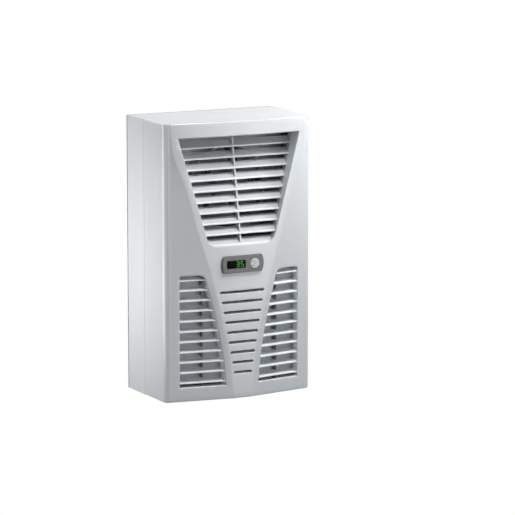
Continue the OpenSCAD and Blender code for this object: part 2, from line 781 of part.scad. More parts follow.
// Digits as lit bars, which segments are on for a three and a five
segments = [[1, 0, 1, 1, 0, 1, 1], [1, 1, 0, 1, 0, 1, 1]];
digit_step = 9.6;
digit_shift = 4;
segment_gap = 0.25;
module segment_bar(length) {
    square([length - 2 * segment_gap, segment_w], center = true);
}
module digit(on) {
    w = digit_w - segment_w;
    h = digit_h - segment_w;
    if (on[0] == 1) translate([0, h / 2]) segment_bar(w);
    if (on[3] == 1) segment_bar(w);
    if (on[6] == 1) translate([0, -h / 2]) segment_bar(w);
    if (on[1] == 1) translate([-w / 2, h / 4]) rotate(90) segment_bar(h / 2);
    if (on[2] == 1) translate([w / 2, h / 4]) rotate(90) segment_bar(h / 2);
    if (on[4] == 1) translate([-w / 2, -h / 4]) rotate(90) segment_bar(h / 2);
    if (on[5] == 1) translate([w / 2, -h / 4]) rotate(90) segment_bar(h / 2);
}
module display_digits() {
    color("lime") up() at_bezel() for (k = [0 : len(segments) - 1])
        translate([digit_shift - screen_x + k * digit_step, 0, 0])
            y_prism(y_window + window_t + digit_t, digit_t) digit(segments[k]);
}
control_t = 2;
module controller_case() {
    y_boss = y_window + window_t + digit_t;
    color("dimgray") up() at_bezel() {
        y_prism(y_bezel + control_d, control_d) rounded(control_w, control_h, control_t);
        translate([-screen_x, 0, 0]) y_prism(y_bezel, y_bezel - y_boss)
            rounded(screen_w, screen_h, bezel_step_w);
    }
}
clip_t = 4;
clip_len = 26;
clip_h = 12;
module controller_clips() {
    y_front = front_y(control_w / 2 + clip_t, controller_z) + hood_t + fit_gap;
    color("darkslategray") up() at_bezel() for (side = [-1, 1]) {
        x = side * control_w / 2;
        difference() {
            block([x, y_front, -clip_h / 2], [x + side * clip_t, y_front + clip_len, clip_h / 2]);
            for (k = [1 : 3])
                block([x + side * clip_t / 2, y_front + k * clip_len / 4, -clip_h],
                    [x + side * 2 * clip_t, y_front + k * clip_len / 4 + clip_t / 2, clip_h]);
        }
    }
}

// One of the four keys, a quarter of the round group with a retaining flange
module key(sx, sz) {
    y_back = y_bezel - key_travel - fit_gap;
    y_tip = y_bezel - bezel_d - key_proud;
    color("white") up() at_bezel() intersection() {
        union() {
            key_hole(key_r, y_back, y_back - y_tip);
            key_hole(key_r + key_flange_w, y_back, key_flange_t);
        }
        block([key_x + sx * key_gap / 2, y_bezel + over, sz * key_gap / 2],
            [key_x + sx * 2 * key_r, y_tip - over, sz * 2 * key_r]);
    }
}
module key_upper_left() { key(-1, 1); }
module key_upper_right() { key(1, 1); }
module key_lower_left() { key(-1, -1); }
module key_lower_right() { key(1, -1); }

// Finned coils: tubes run left to right through plates whose collars touch
module fins(half, centres, y0, y1, z0, z1) {
    count = floor(2 * half / fin_pitch - 1);
    difference() {
        union() {
            for (k = [0 : count])
                block([(k - count / 2) * fin_pitch - fin_t / 2, y0, z0],
                    [(k - count / 2) * fin_pitch + fin_t / 2, y1, z1]);
            for (c = centres)
                x_rod(-count / 2 * fin_pitch, c[0], c[1], coil_r + 2 * fin_t,
                    count * fin_pitch);
        }
        for (c = centres) x_rod(-half - over, c[0], c[1], coil_r + run_gap, 2 * half + 2 * over);
    }
}
tube_stub = 3;
module coil(half, centres, first_side, tail) {
    n = len(centres);
    reach = half + sheet_t + tube_stub;
    for (i = [0 : n - 1]) {
        left = reach + (i == 0 && first_side < 0 || i == n - 1 && (n % 2 == 1) == (first_side > 0)
            ? tail : 0);
        right = reach + (i == 0 && first_side > 0 || i == n - 1 && (n % 2 == 1) == (first_side < 0)
            ? tail : 0);
        x_rod(-left, centres[i][0], centres[i][1], coil_r, left + right);
    }
    for (i = [0 : n - 2]) {
        side = (i % 2 == 0 ? -1 : 1) * first_side;
        a = centres[i];
        b = centres[i + 1];
        mid = (a + b) / 2;
        d = unit(b - a);
        // The bend starts at tube a, leaves the coil sideways and comes back at tube b
        multmatrix([
            [0, side, 0, side * reach],
            [-d[0], 0, side * -d[1], mid[0]],
            [-d[1], 0, side * d[0], mid[1]],
            [0, 0, 0, 1]])
            rotate_extrude(angle = 180) translate([norm(b - a) / 2, 0]) circle(coil_r);
    }
}
// End plates with an outward foot, foot0 and foot1 being the faces of the foot
module end_plates(half, centres, y0, y1, z0, z1, foot0, foot1) {
    for (sx = [-1, 1]) difference() {
        union() {
            block([sx * half, y0, z0], [sx * (half + sheet_t), y1, z1]);
            block([sx * half, foot0, z0], [sx * (half + foot_w), foot1, z1]);
        }
        for (c = centres)
            x_rod(sx > 0 ? half - over : -half - sheet_t - over, c[0], c[1],
                coil_r + run_gap, sheet_t + 2 * over);
    }
}
foot_w = 9;
tail = 10;

// Condenser, on the partition behind the upper window
cond_half = half_w - cond_side;
cond_rows = 7;
cond_gap = 4;
fan_z = (upper_z0 + upper_z1) / 2;
cond_h = cond_rows * cond_pitch;
cond_z0 = fan_z - cond_h / 2;
cond_z1 = fan_z + cond_h / 2;
y_cond1 = y_plate - cond_gap;
y_cond0 = y_cond1 - cond_d;
cond_y = (y_cond0 + y_cond1) / 2;
cond_centres = [for (i = [0 : cond_rows - 1])
    [cond_y, cond_z0 + (i + 1 / 2) * cond_pitch]];
cond_reach = cond_half + sheet_t + tube_stub;
module condenser_fins() {
    color("silver") up()
        fins(cond_half, cond_centres, y_cond0, y_cond1, cond_z0, cond_z1);
}
module condenser_tubes() {
    color("peru") up() coil(cond_half, cond_centres, -1, tail);
}
module condenser_end_plates() {
    color("silver") up() end_plates(cond_half, cond_centres, y_cond0, y_plate,
        cond_z0, cond_z1, y_plate, y_plate - sheet_t);
}

// Shroud: a tray round the condenser with the fan's ring in its front
shroud_room = 2.5;
shroud_x = cond_reach + cond_pitch / 2 + coil_r + shroud_room;
tip_gap = 2.5;
fan_clear = 1.5;
bracket_clear = 2;
ring_r = fan_r + tip_gap;
y_shroud = y_cond0 - fit_gap;
y_fan1 = y_shroud - sheet_t - fan_clear;
y_fan0 = y_fan1 - fan_d;
y_ring = y_fan0 - bracket_clear;
module fan_shroud() {
    z0 = cond_z0 - shroud_room;
    z1 = cond_z1 + shroud_room;
    color("silver") up() difference() {
        union() {
            difference() {
                block([-shroud_x - sheet_t, y_shroud - sheet_t, z0 - sheet_t],
                    [shroud_x + sheet_t, y_plate, z1 + sheet_t]);
                block([-shroud_x, y_shroud, z0], [shroud_x, y_plate + over, z1]);
            }
            y_rod(0, fan_z, ring_r + sheet_t, y_shroud - sheet_t, y_shroud - sheet_t - y_ring);
        }
        y_rod(0, fan_z, ring_r, y_shroud + over, y_shroud - y_ring + 2 * over);
        for (sx = [-1, 1]) {
            c = cond_centres[sx < 0 ? 0 : cond_rows - 1];
            x_rod(sx > 0 ? shroud_x - over : -shroud_x - sheet_t - over, c[0], c[1],
                coil_r + pipe_hole_gap, sheet_t + 2 * over);
        }
    }
}

// Bracket of two crossed bars and a round seat, on the ring's front edge
bracket_w = 10;
motor_r = 26.5;
shaft_r = 4;
hub_t = 2.5;
hub_gap = 2;
hub_wall = 3;
module on_fan() {
    translate([0, 0, fan_z]) children();
}
module fan_bracket() {
    color("gray") up() on_fan() difference() {
        union() {
            y_rod(0, 0, motor_r + hub_gap, y_ring, sheet_t);
            for (a = [45, 135]) rotate([0, a, 0])
                block([-ring_r - sheet_t, y_ring - sheet_t, -bracket_w / 2],
                    [ring_r + sheet_t, y_ring, bracket_w / 2]);
        }
        y_rod(0, 0, shaft_r + over, y_ring + over, sheet_t + 2 * over);
    }
}
module fan_motor() {
    y_tail = y_fan1 - hub_wall - fan_clear;
    color("dimgray") up() on_fan() {
        y_rod(0, 0, motor_r, y_tail, y_tail - y_ring);
        y_rod(0, 0, shaft_r, y_fan1 + over, y_fan1 + over - y_ring + sheet_t);
    }
}
// Axial blade: a thin sheet that climbs through the fan's depth as it goes round
blade_wrap = 56;
blade_sheet = 1.6;
blade_chord_steps = 7;
blade_span_steps = 3;
// Share of the wrap by which the tip leads the root
blade_sweep_share = 0.35;
function blade_point(u, v, side) =
    let (r = hub_r - hub_t / 2 + (fan_r + over - hub_r + hub_t / 2) * v)
    let (a = blade_wrap * (u + blade_sweep_share * v))
    [r * cos(a), r * sin(a), side * blade_sheet / 2 + blade_sheet
        + (fan_d - 2 * blade_sheet) * (u + (1 - u) * u / 2)];
module fan_blade() {
    n = blade_chord_steps;
    m = blade_span_steps;
    w = m + 1;
    lower = (n + 1) * w;
    rim = concat([for (j = [0 : m - 1]) j], [for (i = [0 : n - 1]) i * w + m],
        [for (j = [m : -1 : 1]) n * w + j], [for (i = [n : -1 : 1]) i * w]);
    polyhedron(
        points = [for (side = [1, -1]) for (i = [0 : n]) for (j = [0 : m])
            blade_point(i / n, j / m, side)],
        faces = concat(
            [for (i = [0 : n - 1]) for (j = [0 : m - 1]) let (p = i * w + j)
                each [[p, p + w, p + w + 1], [p, p + w + 1, p + 1]]],
            [for (i = [0 : n - 1]) for (j = [0 : m - 1]) let (p = lower + i * w + j)
                each [[p, p + w + 1, p + w], [p, p + 1, p + w + 1]]],
            [for (k = [0 : len(rim) - 1])
                let (a = rim[k], b = rim[(k + 1) % len(rim)])
                each [[a, b, lower + b], [a, lower + b, lower + a]]]));
}
hub_r = motor_r + hub_gap + hub_t;
module fan_rotor() {
    color("black") up() on_fan() difference() {
        union() {
            y_rod(0, 0, hub_r, y_fan1, fan_d);
            intersection() {
                y_rod(0, 0, fan_r, y_fan1 + over, fan_d + 2 * over);
                translate([0, y_fan1, 0]) rotate([90, 0, 0]) for (k = [0 : fan_blades - 1])
                    rotate(360 * k / fan_blades) fan_blade();
            }
        }
        y_rod(0, 0, motor_r + hub_gap, y_fan1 - hub_wall, fan_d);
        y_rod(0, 0, shaft_r + run_gap, y_fan1 + over, fan_d);
    }
}

// Compressor on rubber feet, on a folded shelf at the bottom of the warm circuit
comp_gap = 2;
comp_y = y_plate - comp_gap - comp_r;
shelf_z = 14;
shelf_x = 70;
shelf_up = 16;
grommet_h = 12;
grommet_r = 8;
grommet_neck_r = 5;
grommet_lip = 3;
base_t = 2.5;
base_w = 116;
base_d = 72;
base_corner = 8;
foot_x = 50;
foot_y = 28;
bolt_r = 3;
bolt_head_r = 5.5;
bolt_head_t = 4;
comp_z0 = shelf_z + grommet_h + base_t;
comp_z1 = comp_z0 + comp_h;
comp_dome = 20;
module at_feet() {
    for (sx = [-1, 1]) for (sy = [-1, 1])
        translate([sx * foot_x, comp_y + sy * foot_y, 0]) children();
}
module compressor_shelf() {
    y_front = comp_y - base_d / 2;
    low = plate_z0 + sheet_t + fit_gap;
    color("silver") up() difference() {
        union() {
            block([-shelf_x, y_front, shelf_z - sheet_t], [shelf_x, y_plate, shelf_z]);
            block([-shelf_x, y_front, low], [shelf_x, y_front + sheet_t, shelf_z]);
            for (sx = [-1, 1]) block([sx * shelf_x, y_front, low],
                [sx * (shelf_x - sheet_t), y_plate, shelf_z]);
            block([-shelf_x, y_plate - sheet_t, shelf_z - sheet_t],
                [shelf_x, y_plate, shelf_z + shelf_up]);
        }
        at_feet() cylinder(r = bolt_r + fit_gap, h = 2 * shelf_z);
        block([-foot_x - bolt_head_r, y_plate + over, shelf_z + over],
            [foot_x + bolt_head_r, comp_y + comp_r + comp_gap / 4, comp_h]);
    }
}
module compressor_base() {
    color("dimgray") up() translate([0, 0, comp_z0 - base_t]) difference() {
        translate([0, comp_y, 0]) linear_extrude(base_t) rounded(base_w, base_d, base_corner);
        translate([0, 0, -over])
            at_feet() cylinder(r = grommet_neck_r + fit_gap, h = base_t + 2 * over);
    }
}
module compressor_grommets() {
    color("black") up() at_feet() difference() {
        union() {
            translate([0, 0, shelf_z]) cylinder(r = grommet_r, h = grommet_h);
            translate([0, 0, shelf_z])
                cylinder(r = grommet_neck_r, h = grommet_h + base_t + grommet_lip);
            translate([0, 0, comp_z0]) cylinder(r = grommet_r, h = grommet_lip);
        }
        cylinder(r = bolt_r + fit_gap, h = 2 * comp_z0);
    }
}
module compressor_bolts() {
    seat = comp_z0 + grommet_lip;
    color("silver") up() at_feet() {
        translate([0, 0, shelf_z - sheet_t - bolt_head_t])
            cylinder(r = bolt_r, h = seat - shelf_z + sheet_t + 2 * bolt_head_t);
        translate([0, 0, seat]) cylinder(r = bolt_head_r, h = bolt_head_t, $fn = 6);
        translate([0, 0, shelf_z - sheet_t - bolt_head_t])
            cylinder(r = bolt_head_r, h = bolt_head_t, $fn = 6);
    }
}
stub_x = 19;
stub_len = 6;
stub_t = 1.2;
band_r = 1.6;
module compressor() {
    color("black") up() translate([0, comp_y, comp_z0]) {
        rotate_extrude() {
            square([comp_r - comp_dome, comp_h]);
            square([comp_r, comp_h - comp_dome]);
            intersection() {
                translate([comp_r - comp_dome, comp_h - comp_dome]) circle(comp_dome);
                square([comp_r, comp_h]);
            }
            translate([comp_r - band_r / 2, comp_h / 2]) circle(band_r);
        }
        for (stub = [[stub_x, 0, pipe_r], [-stub_x, 0, suction_r], [0, -stub_x, pipe_r]])
            translate([stub[0], stub[1], comp_h - comp_dome])
                cylinder(r = stub[2] + stub_t, h = comp_dome + stub_len);
    }
}
cover_w = 30;
cover_h = 38;
cover_d = 13;
module terminal_cover() {
    z = comp_z0 + comp_h / 3;
    color("black") up() difference() {
        block([comp_r / 2, comp_y - cover_w / 2, z - cover_h / 2],
            [comp_r + cover_d, comp_y + cover_w / 2, z + cover_h / 2]);
        translate([0, comp_y, z - cover_h]) cylinder(r = comp_r + run_gap, h = 2 * cover_h);
    }
}
valve_len = 12;
valve_cap = 8;
module service_valve() {
    color("goldenrod") up() translate([0, comp_y - stub_x, comp_z1 + stub_len]) {
        cylinder(r = pipe_r, h = valve_len + valve_cap);
        translate([0, 0, valve_len]) cylinder(r = pipe_r + stub_t, h = valve_cap, $fn = 6);
    }
}

// Warm pipework: compressor, condenser, drier and capillary
bend_r = 10;
riser_x = shroud_x + sheet_t + pipe_r + shroud_room;
run_z = comp_z1 + 4 * bend_r;
drier_side = 49;
drier_x = half_w - drier_side;
drier_drop = 158.5;
drier_z0 = cond_z0 - drier_drop;
drier_neck = 8;
helix_r = 11;
helix_turns = 5.5;
helix_pitch = 5;
capillary_r = 1.2;
capillary_bend = 5;
capillary_x = drier_x + 2 * helix_r;
capillary_z = drier_z0 - drier_neck - helix_turns * helix_pitch;
module discharge_pipe() {
    c = cond_centres[cond_rows - 1];
    color("peru") up() pipe([
        [stub_x, comp_y, comp_z1 + stub_len], [stub_x, comp_y, run_z],
        [riser_x, comp_y, run_z], [riser_x, c[0], run_z],
        [riser_x, c[0], c[1]], [cond_reach + tail, c[0], c[1]]], pipe_r, bend_r);
}
switch_x = 80;
switch_r = 11;
switch_h = 20;
switch_neck = 6;
module pressure_switch() {
    color("gray") up() translate([switch_x, comp_y, run_z + pipe_r]) {
        cylinder(r = pipe_r, h = switch_neck);
        translate([0, 0, switch_neck]) cylinder(r = switch_r, h = switch_h);
    }
}
module liquid_pipe() {
    c = cond_centres[0];
    z = drier_z0 + drier_len + 2 * bend_r;
    color("peru") up() pipe([
        [-cond_reach - tail, c[0], c[1]], [-riser_x, c[0], c[1]], [-riser_x, c[0], z],
        [-drier_x, cond_y, z], [-drier_x, cond_y, drier_z0 + drier_len]], pipe_r, bend_r);
}
module filter_drier() {
    color("peru") up() translate([-drier_x, cond_y, drier_z0]) {
        translate([0, 0, drier_neck]) cylinder(r = drier_r, h = drier_len - 2 * drier_neck);
        cylinder(r1 = pipe_r, r2 = drier_r, h = drier_neck);
        translate([0, 0, drier_len - drier_neck])
            cylinder(r1 = drier_r, r2 = pipe_r, h = drier_neck);
    }
}

// Capillary: a helix of small tube, then a leg through the partition to the evaporator
helix_rings = 24;
helix_sides = 6;
helix_top = drier_z0 - drier_neck;
function helix_at(t) = let (a = -360 * t)
    [helix_r * cos(a) - drier_x - helix_r, cond_y + helix_r * sin(a),
        helix_top - helix_pitch * t];
module helix() {
    rings = ceil(helix_turns * helix_rings);
    points = [for (k = [0 : rings])
        let (t = helix_turns * k / rings, a = -360 * t, c = helix_at(t))
        for (s = [0 : helix_sides - 1])
            let (b = 360 * s / helix_sides)
            c + capillary_r * [cos(b) * cos(a), cos(b) * sin(a), sin(b)]];
    polyhedron(points = points, faces = concat(
        [[for (s = [0 : helix_sides - 1]) s]],
        [[for (s = [helix_sides - 1 : -1 : 0]) rings * helix_sides + s]],
        [for (k = [0 : rings - 1]) for (s = [0 : helix_sides - 1])
            let (n = (s + 1) % helix_sides, p = k * helix_sides)
            each [[p + s, p + helix_sides + s, p + n],
                [p + n, p + helix_sides + s, p + helix_sides + n]]]));
}
module capillary_tube() {
    c = evap_centres[0];
    color("peru") up() {
        helix();
        for (t = [0, helix_turns]) translate(helix_at(t)) sphere(capillary_r + 2 * run_gap);
        translate([-drier_x, cond_y, helix_top])
            cylinder(r = capillary_r, h = drier_neck);
        pipe([[-capillary_x, cond_y, capillary_z], [-capillary_x, c[0], capillary_z],
            [-capillary_x, c[0], c[1]], [-evap_reach - evap_tail, c[0], c[1]]],
            capillary_r, capillary_bend);
    }
}

// Evaporator, across the cold circuit below the blower
evap_half = half_w - evap_side;
evap_y0 = 68;
evap_y1 = 8;
evap_cols = 4;
evap_rows = 2;
evap_pitch = (evap_y0 - evap_y1) / evap_cols;
evap_row_pitch = 22;
evap_h = evap_rows * evap_row_pitch;
evap_tail = 3;
evap_reach = evap_half + sheet_t + tube_stub;
evap_centres = [for (r = [0 : evap_rows - 1]) for (k = [0 : evap_cols - 1])
    [((r == 0 ? k : evap_cols - 1 - k) + 1 / 2) * evap_pitch - evap_y0,
        evap_z + (r + 1 / 2) * evap_row_pitch]];
suction_x = evap_reach + evap_tail + bend_r + suction_r;
suction_z = evap_centres[2 * evap_cols - 1][1];
module evaporator_fins() {
    color("silver") up()
        fins(evap_half, evap_centres, -evap_y0, -evap_y1, evap_z, evap_z + evap_h);
}
module evaporator_tubes() {
    color("peru") up() coil(evap_half, evap_centres, -1, evap_tail);
}
module evaporator_end_plates() {
    color("silver") up() end_plates(evap_half, evap_centres, -evap_y0, -sheet_t,
        evap_z, evap_z + evap_h, -sheet_t, -2 * sheet_t);
}
module suction_pipe() {
    c = evap_centres[2 * evap_cols - 1];
    top = max(c[1] + 2 * bend_r, comp_z1 + 5 * bend_r);
    color("peru") up() pipe([
        [-evap_reach - evap_tail, c[0], c[1]], [-suction_x, c[0], c[1]],
        [-suction_x, comp_y, c[1]], [-suction_x, comp_y, top],
        [-stub_x, comp_y, top], [-stub_x, comp_y, comp_z1 + stub_len]], suction_r, bend_r);
}

// Warm-air inlet: a flanged bell mouth whose throat enters the blower wheel
throat_d = 28;
ring_t = 1.5;
ring_flange = 12;
module inlet_ring() {
    lip = inlet_r + inlet_lip_r;
    color("dimgray") up() translate([0, 0, inlet_z]) rotate([90, 0, 0]) rotate_extrude() {
        translate([lip - ring_t, sheet_t]) square([ring_flange + ring_t, ring_t]);
        translate([inlet_r, sheet_t + inlet_lip_r])
            square([ring_t, throat_d - sheet_t - inlet_lip_r]);
        intersection() {
            translate([lip, sheet_t + inlet_lip_r]) difference() {
                circle(inlet_lip_r);
                circle(inlet_lip_r - ring_t);
            }
            translate([inlet_r, sheet_t]) square(inlet_lip_r);
        }
    }
}

// Blower: outer-rotor motor on the partition, wheel with swept blades on its shaft
blower_base_r = 40;
blower_base_t = 3;
blower_motor_r = 27;
blower_shaft_end = 37;
cup_end = 41;
cup_t = 3;
disc_t = 1.5;
wheel_gap = 2;
eye_lap = 1;
y_disc = y_lip + foam_t + wheel_gap;
y_front_disc = -throat_d - wheel_gap;
cup_r = blower_motor_r + hub_gap + hub_t;
eye_r = inlet_r + ring_t + wheel_gap;
module on_blower() {
    translate([0, 0, inlet_z]) children();
}
module blower_motor() {
    y_end = -cup_end - cup_t - fan_clear;
    color("dimgray") up() on_blower() {
        y_rod(0, 0, blower_base_r, y_lip + blower_base_t, blower_base_t);
        y_rod(0, 0, blower_motor_r, y_end, y_end - y_lip);
        y_rod(0, 0, shaft_r, -blower_shaft_end, -blower_shaft_end - y_lip);
    }
}
sweep_r = 46;
sweep_angle = 62;
sweep_t = 1.5;
module blower_wheel() {
    color("darkslategray") up() on_blower() difference() {
        union() {
            y_rod(0, 0, wheel_r, y_disc + disc_t, disc_t);
            y_rod(0, 0, cup_r, -cup_end, -cup_end - y_disc);
            difference() {
                union() {
                    y_rod(0, 0, wheel_r, y_front_disc, disc_t);
                    y_rod(0, 0, eye_r + disc_t, eye_lap - throat_d, wheel_gap + eye_lap + disc_t / 2);
                }
                y_rod(0, 0, eye_r, over, -2 * y_front_disc);
            }
            intersection() {
                y_rod(0, 0, wheel_r, y_front_disc - disc_t / 2, y_front_disc - y_disc - disc_t);
                for (k = [0 : wheel_blades - 1]) rotate([0, 360 * k / wheel_blades, 0])
                    translate([cup_r + disc_t, y_front_disc, sweep_r])
                        rotate([90, 0, 0]) rotate(-90)
                            rotate_extrude(angle = sweep_angle)
                                translate([sweep_r, 0])
                                    square([sweep_t, y_front_disc - y_disc]);
            }
        }
        y_rod(0, 0, blower_motor_r + hub_gap, -cup_end - cup_t, -y_disc);
        y_rod(0, 0, shaft_r + run_gap, over - cup_end, cup_t + 2 * over);
    }
}

// Condensate tray under the evaporator, its spout in the drain nozzle
tray_side = 22;
tray_x = half_w - tray_side;
tray_h = 20;
tray_foot = 10;
spout_r = 3.5;
spout_bore = 2.5;
spout_len = 10;
module condensate_tray() {
    z0 = sheet_t + drain_flange_t;
    color("whitesmoke") up() difference() {
        union() {
            difference() {
                block([-tray_x, -evap_y0, z0], [tray_x, -evap_y1, z0 + tray_h]);
                block([sheet_t - tray_x, sheet_t - evap_y0, z0 + sheet_t],
                    [tray_x - sheet_t, -evap_y1 - sheet_t, z0 + tray_h + over]);
            }
            for (sx = [-1, 1]) for (y = [-evap_y0, -evap_y1 - tray_foot])
                block([sx * tray_x, y, sheet_t], [sx * (tray_x - tray_foot), y + tray_foot, z0]);
            translate([0, -drain_y, z0 - spout_len]) cylinder(r = spout_r, h = spout_len);
        }
        translate([0, -drain_y, z0 - spout_len - over])
            cylinder(r = spout_bore, h = spout_len + sheet_t + 2 * over);
    }
}

// Electronics box on the partition beside the compressor
ebox_gap = 6;
ebox_x0 = comp_r + cover_d + ebox_gap;
ebox_x1 = half_w - ebox_side;
ebox_z0 = 36;
post_r = 3;
post_h = 6;
board_t = 1.6;
board_edge = 4;
board_share = 0.46;
ebox_z1 = ebox_z0 + ebox_h;
board_z0 = ebox_z1 - sheet_t - board_edge - ebox_h * board_share;
board_z1 = ebox_z1 - sheet_t - board_edge;
board_x0 = ebox_x0 + sheet_t + board_edge;
board_x1 = ebox_x1 - sheet_t - board_edge;
y_board = y_plate - sheet_t - post_h;
module electronics_box() {
    color("silver") up() {
        difference() {
            block([ebox_x0, y_plate, ebox_z0], [ebox_x1, y_plate - ebox_d, ebox_z1]);
            block([ebox_x0 + sheet_t, y_plate - sheet_t, ebox_z0 + sheet_t],
                [ebox_x1 - sheet_t, y_plate - ebox_d - over, ebox_z1 - sheet_t]);
        }
        for (x = [board_x0 + post_r, board_x1 - post_r])
            for (z = [board_z0 + post_r, board_z1 - post_r])
                y_rod(x, z, post_r, y_plate - sheet_t / 2, post_h + sheet_t / 2);
    }
}
lid_skirt = 8;
module electronics_lid() {
    out = fit_gap + sheet_t;
    y = y_plate - ebox_d;
    color("gainsboro") up() difference() {
        block([ebox_x0 - out, y - sheet_t, ebox_z0 - out],
            [ebox_x1 + out, y + lid_skirt, ebox_z1 + out]);
        block([ebox_x0 - fit_gap, y, ebox_z0 - fit_gap],
            [ebox_x1 + fit_gap, y + lid_skirt + over, ebox_z1 + fit_gap]);
    }
}
module circuit_board() {
    color("darkgreen") up()
        block([board_x0, y_board, board_z0], [board_x1, y_board - board_t, board_z1]);
}
coil_block = [26, 22, 26];
relay_block = [12, 16, 26];
strip_block = [board_x1 - board_x0 - 7 * post_r, 12, 9];
module board_parts() {
    y = y_board - board_t;
    color("royalblue") up() {
        block([board_x0 + post_r, y, board_z1 - 2 * post_r - coil_block[2]],
            [board_x0 + post_r + coil_block[0], y - coil_block[1],
                board_z1 - 2 * post_r]);
        for (k = [1, 2]) block(
            [board_x1 + board_edge - k * (relay_block[0] + board_edge), y,
                board_z1 - 2 * post_r - relay_block[2]],
            [board_x1 + board_edge + relay_block[0] - k * (relay_block[0] + board_edge),
                y - relay_block[1], board_z1 - 2 * post_r]);
        block([board_x0 + 2 * post_r, y, board_z0 + 2 * post_r],
            [board_x0 + 2 * post_r + strip_block[0], y - strip_block[1],
                board_z0 + 2 * post_r + strip_block[2]]);
    }
}
cap_tip = 8;
cap_len = board_x1 - board_x0 - cap_tip - post_r;
module run_capacitor() {
    x = ebox_x0 + sheet_t + board_edge;
    y = y_plate - sheet_t - cap_r;
    z = ebox_z0 + sheet_t + cap_r + board_edge;
    color("lightgray") up() {
        x_rod(x, y, z, cap_r, cap_len);
        x_rod(x + cap_len, y, z, cap_r / 4, cap_tip);
    }
}

// Supply and signal connector, sunk in the back plate with its mouth in the rear face
socket_floor = 4;
socket_flange = 5;
pin_count = 6;
pin_r = 1.1;
pin_pitch = 7.4;
pin_len = 15;
pin_depth = 8;
module pins(grow) {
    for (k = [0 : pin_count - 1])
        y_rod((k - (pin_count - 1) / 2) * pin_pitch - socket_x, case_h - socket_drop,
            pin_r + grow, -pin_depth, pin_len);
}
module connector_housing() {
    color("black") up() difference() {
        union() {
            y_prism(0, socket_d) socket_outline(socket_wall);
            y_prism(-sheet_t, socket_wall) socket_outline(socket_wall + socket_flange);
        }
        y_prism(over, socket_d - socket_floor + over) socket_outline(0);
        pins(run_gap);
    }
}
module connector_pins() {
    color("gold") up() pins(0);
}

rear_shell();
rear_gasket();
mounting_nuts();
drain_nozzle();
partition_plate();
partition_screws();
insulation_panel();
hood();
hood_screws();
upper_louvres();
left_louvres();
right_louvres();
controller_bezel();
controller_case();
controller_clips();
display_window();
display_digits();
key_upper_left();
key_upper_right();
key_lower_left();
key_lower_right();
condenser_fins();
condenser_tubes();
condenser_end_plates();
fan_shroud();
fan_bracket();
fan_motor();
fan_rotor();
compressor_shelf();
compressor();
compressor_base();
compressor_grommets();
compressor_bolts();
terminal_cover();
service_valve();
discharge_pipe();
pressure_switch();
liquid_pipe();
filter_drier();
capillary_tube();
suction_pipe();
inlet_ring();
blower_motor();
blower_wheel();
evaporator_fins();
evaporator_tubes();
evaporator_end_plates();
condensate_tray();
electronics_box();
electronics_lid();
circuit_board();
board_parts();
run_capacitor();
connector_housing();
connector_pins();
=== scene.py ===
from math import atan2, copysign, cos, hypot, pi, radians, sin, tan

import bmesh
import bpy
from mathutils import Matrix, Vector


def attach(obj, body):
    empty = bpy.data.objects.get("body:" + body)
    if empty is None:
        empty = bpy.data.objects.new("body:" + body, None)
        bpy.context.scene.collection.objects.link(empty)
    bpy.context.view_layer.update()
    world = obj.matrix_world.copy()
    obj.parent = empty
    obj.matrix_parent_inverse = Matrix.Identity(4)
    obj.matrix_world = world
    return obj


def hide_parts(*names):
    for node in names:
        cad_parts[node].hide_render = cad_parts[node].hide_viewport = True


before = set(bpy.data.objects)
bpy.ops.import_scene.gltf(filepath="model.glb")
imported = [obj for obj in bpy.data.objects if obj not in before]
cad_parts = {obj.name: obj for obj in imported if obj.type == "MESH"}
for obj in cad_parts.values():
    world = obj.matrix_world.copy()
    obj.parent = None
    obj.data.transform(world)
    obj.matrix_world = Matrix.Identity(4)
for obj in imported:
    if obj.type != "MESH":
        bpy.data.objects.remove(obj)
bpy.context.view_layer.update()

# Camera and studio: the unit hangs in front of a white room, seen from its left and a little
# above. Soft lamps stand round it, and a pale floor lies far below it.
camera_data = bpy.data.cameras.new("studio_camera")
camera_data.lens = 207.785
camera_data.sensor_width = 36
camera_data.clip_end = 50
camera = bpy.data.objects.new("studio_camera", camera_data)
camera.location = (-2.61235, -5.30215, 0.98832)
camera.rotation_euler = (radians(80.2837), 0, radians(-27.3604))
bpy.context.scene.collection.objects.link(camera)
bpy.context.scene.camera = camera
bpy.context.scene.view_settings.view_transform = "Standard"

room = bpy.data.worlds.new("white_room")
bpy.context.scene.world = room
room.use_nodes = True
air, links = room.node_tree.nodes, room.node_tree.links
air["Background"].inputs["Color"].default_value = (0.9, 0.93, 1.0, 1)
air["Background"].inputs["Strength"].default_value = 0.01
white = air.new("ShaderNodeBackground")
white.inputs["Color"].default_value = (1, 1, 1, 1)
seen = air.new("ShaderNodeLightPath")
mirrored = air.new("ShaderNodeMath")
mirrored.operation = "MAXIMUM"
shown = air.new("ShaderNodeMath")
shown.operation = "MAXIMUM"
either = air.new("ShaderNodeMixShader")
links.new(seen.outputs["Is Glossy Ray"], mirrored.inputs[0])
links.new(seen.outputs["Is Transmission Ray"], mirrored.inputs[1])
links.new(seen.outputs["Is Camera Ray"], shown.inputs[0])
links.new(mirrored.outputs[0], shown.inputs[1])
links.new(shown.outputs[0], either.inputs[0])
links.new(air["Background"].outputs[0], either.inputs[1])
links.new(white.outputs[0], either.inputs[2])
links.new(either.outputs[0], air["World Output"].inputs["Surface"])

unit_middle = Vector((0, -0.1, 0))


def softbox(name, place, size, power):
    """A soft rectangular lamp that faces the middle of the unit."""
    lamp = bpy.data.lights.new(name, "AREA")
    lamp.shape = "RECTANGLE"
    lamp.size, lamp.size_y = size
    lamp.energy = power
    stand = bpy.data.objects.new(name, lamp)
    stand.location = place
    stand.rotation_euler = (unit_middle - Vector(place)).to_track_quat("-Z", "Y").to_euler()
    bpy.context.scene.collection.objects.link(stand)


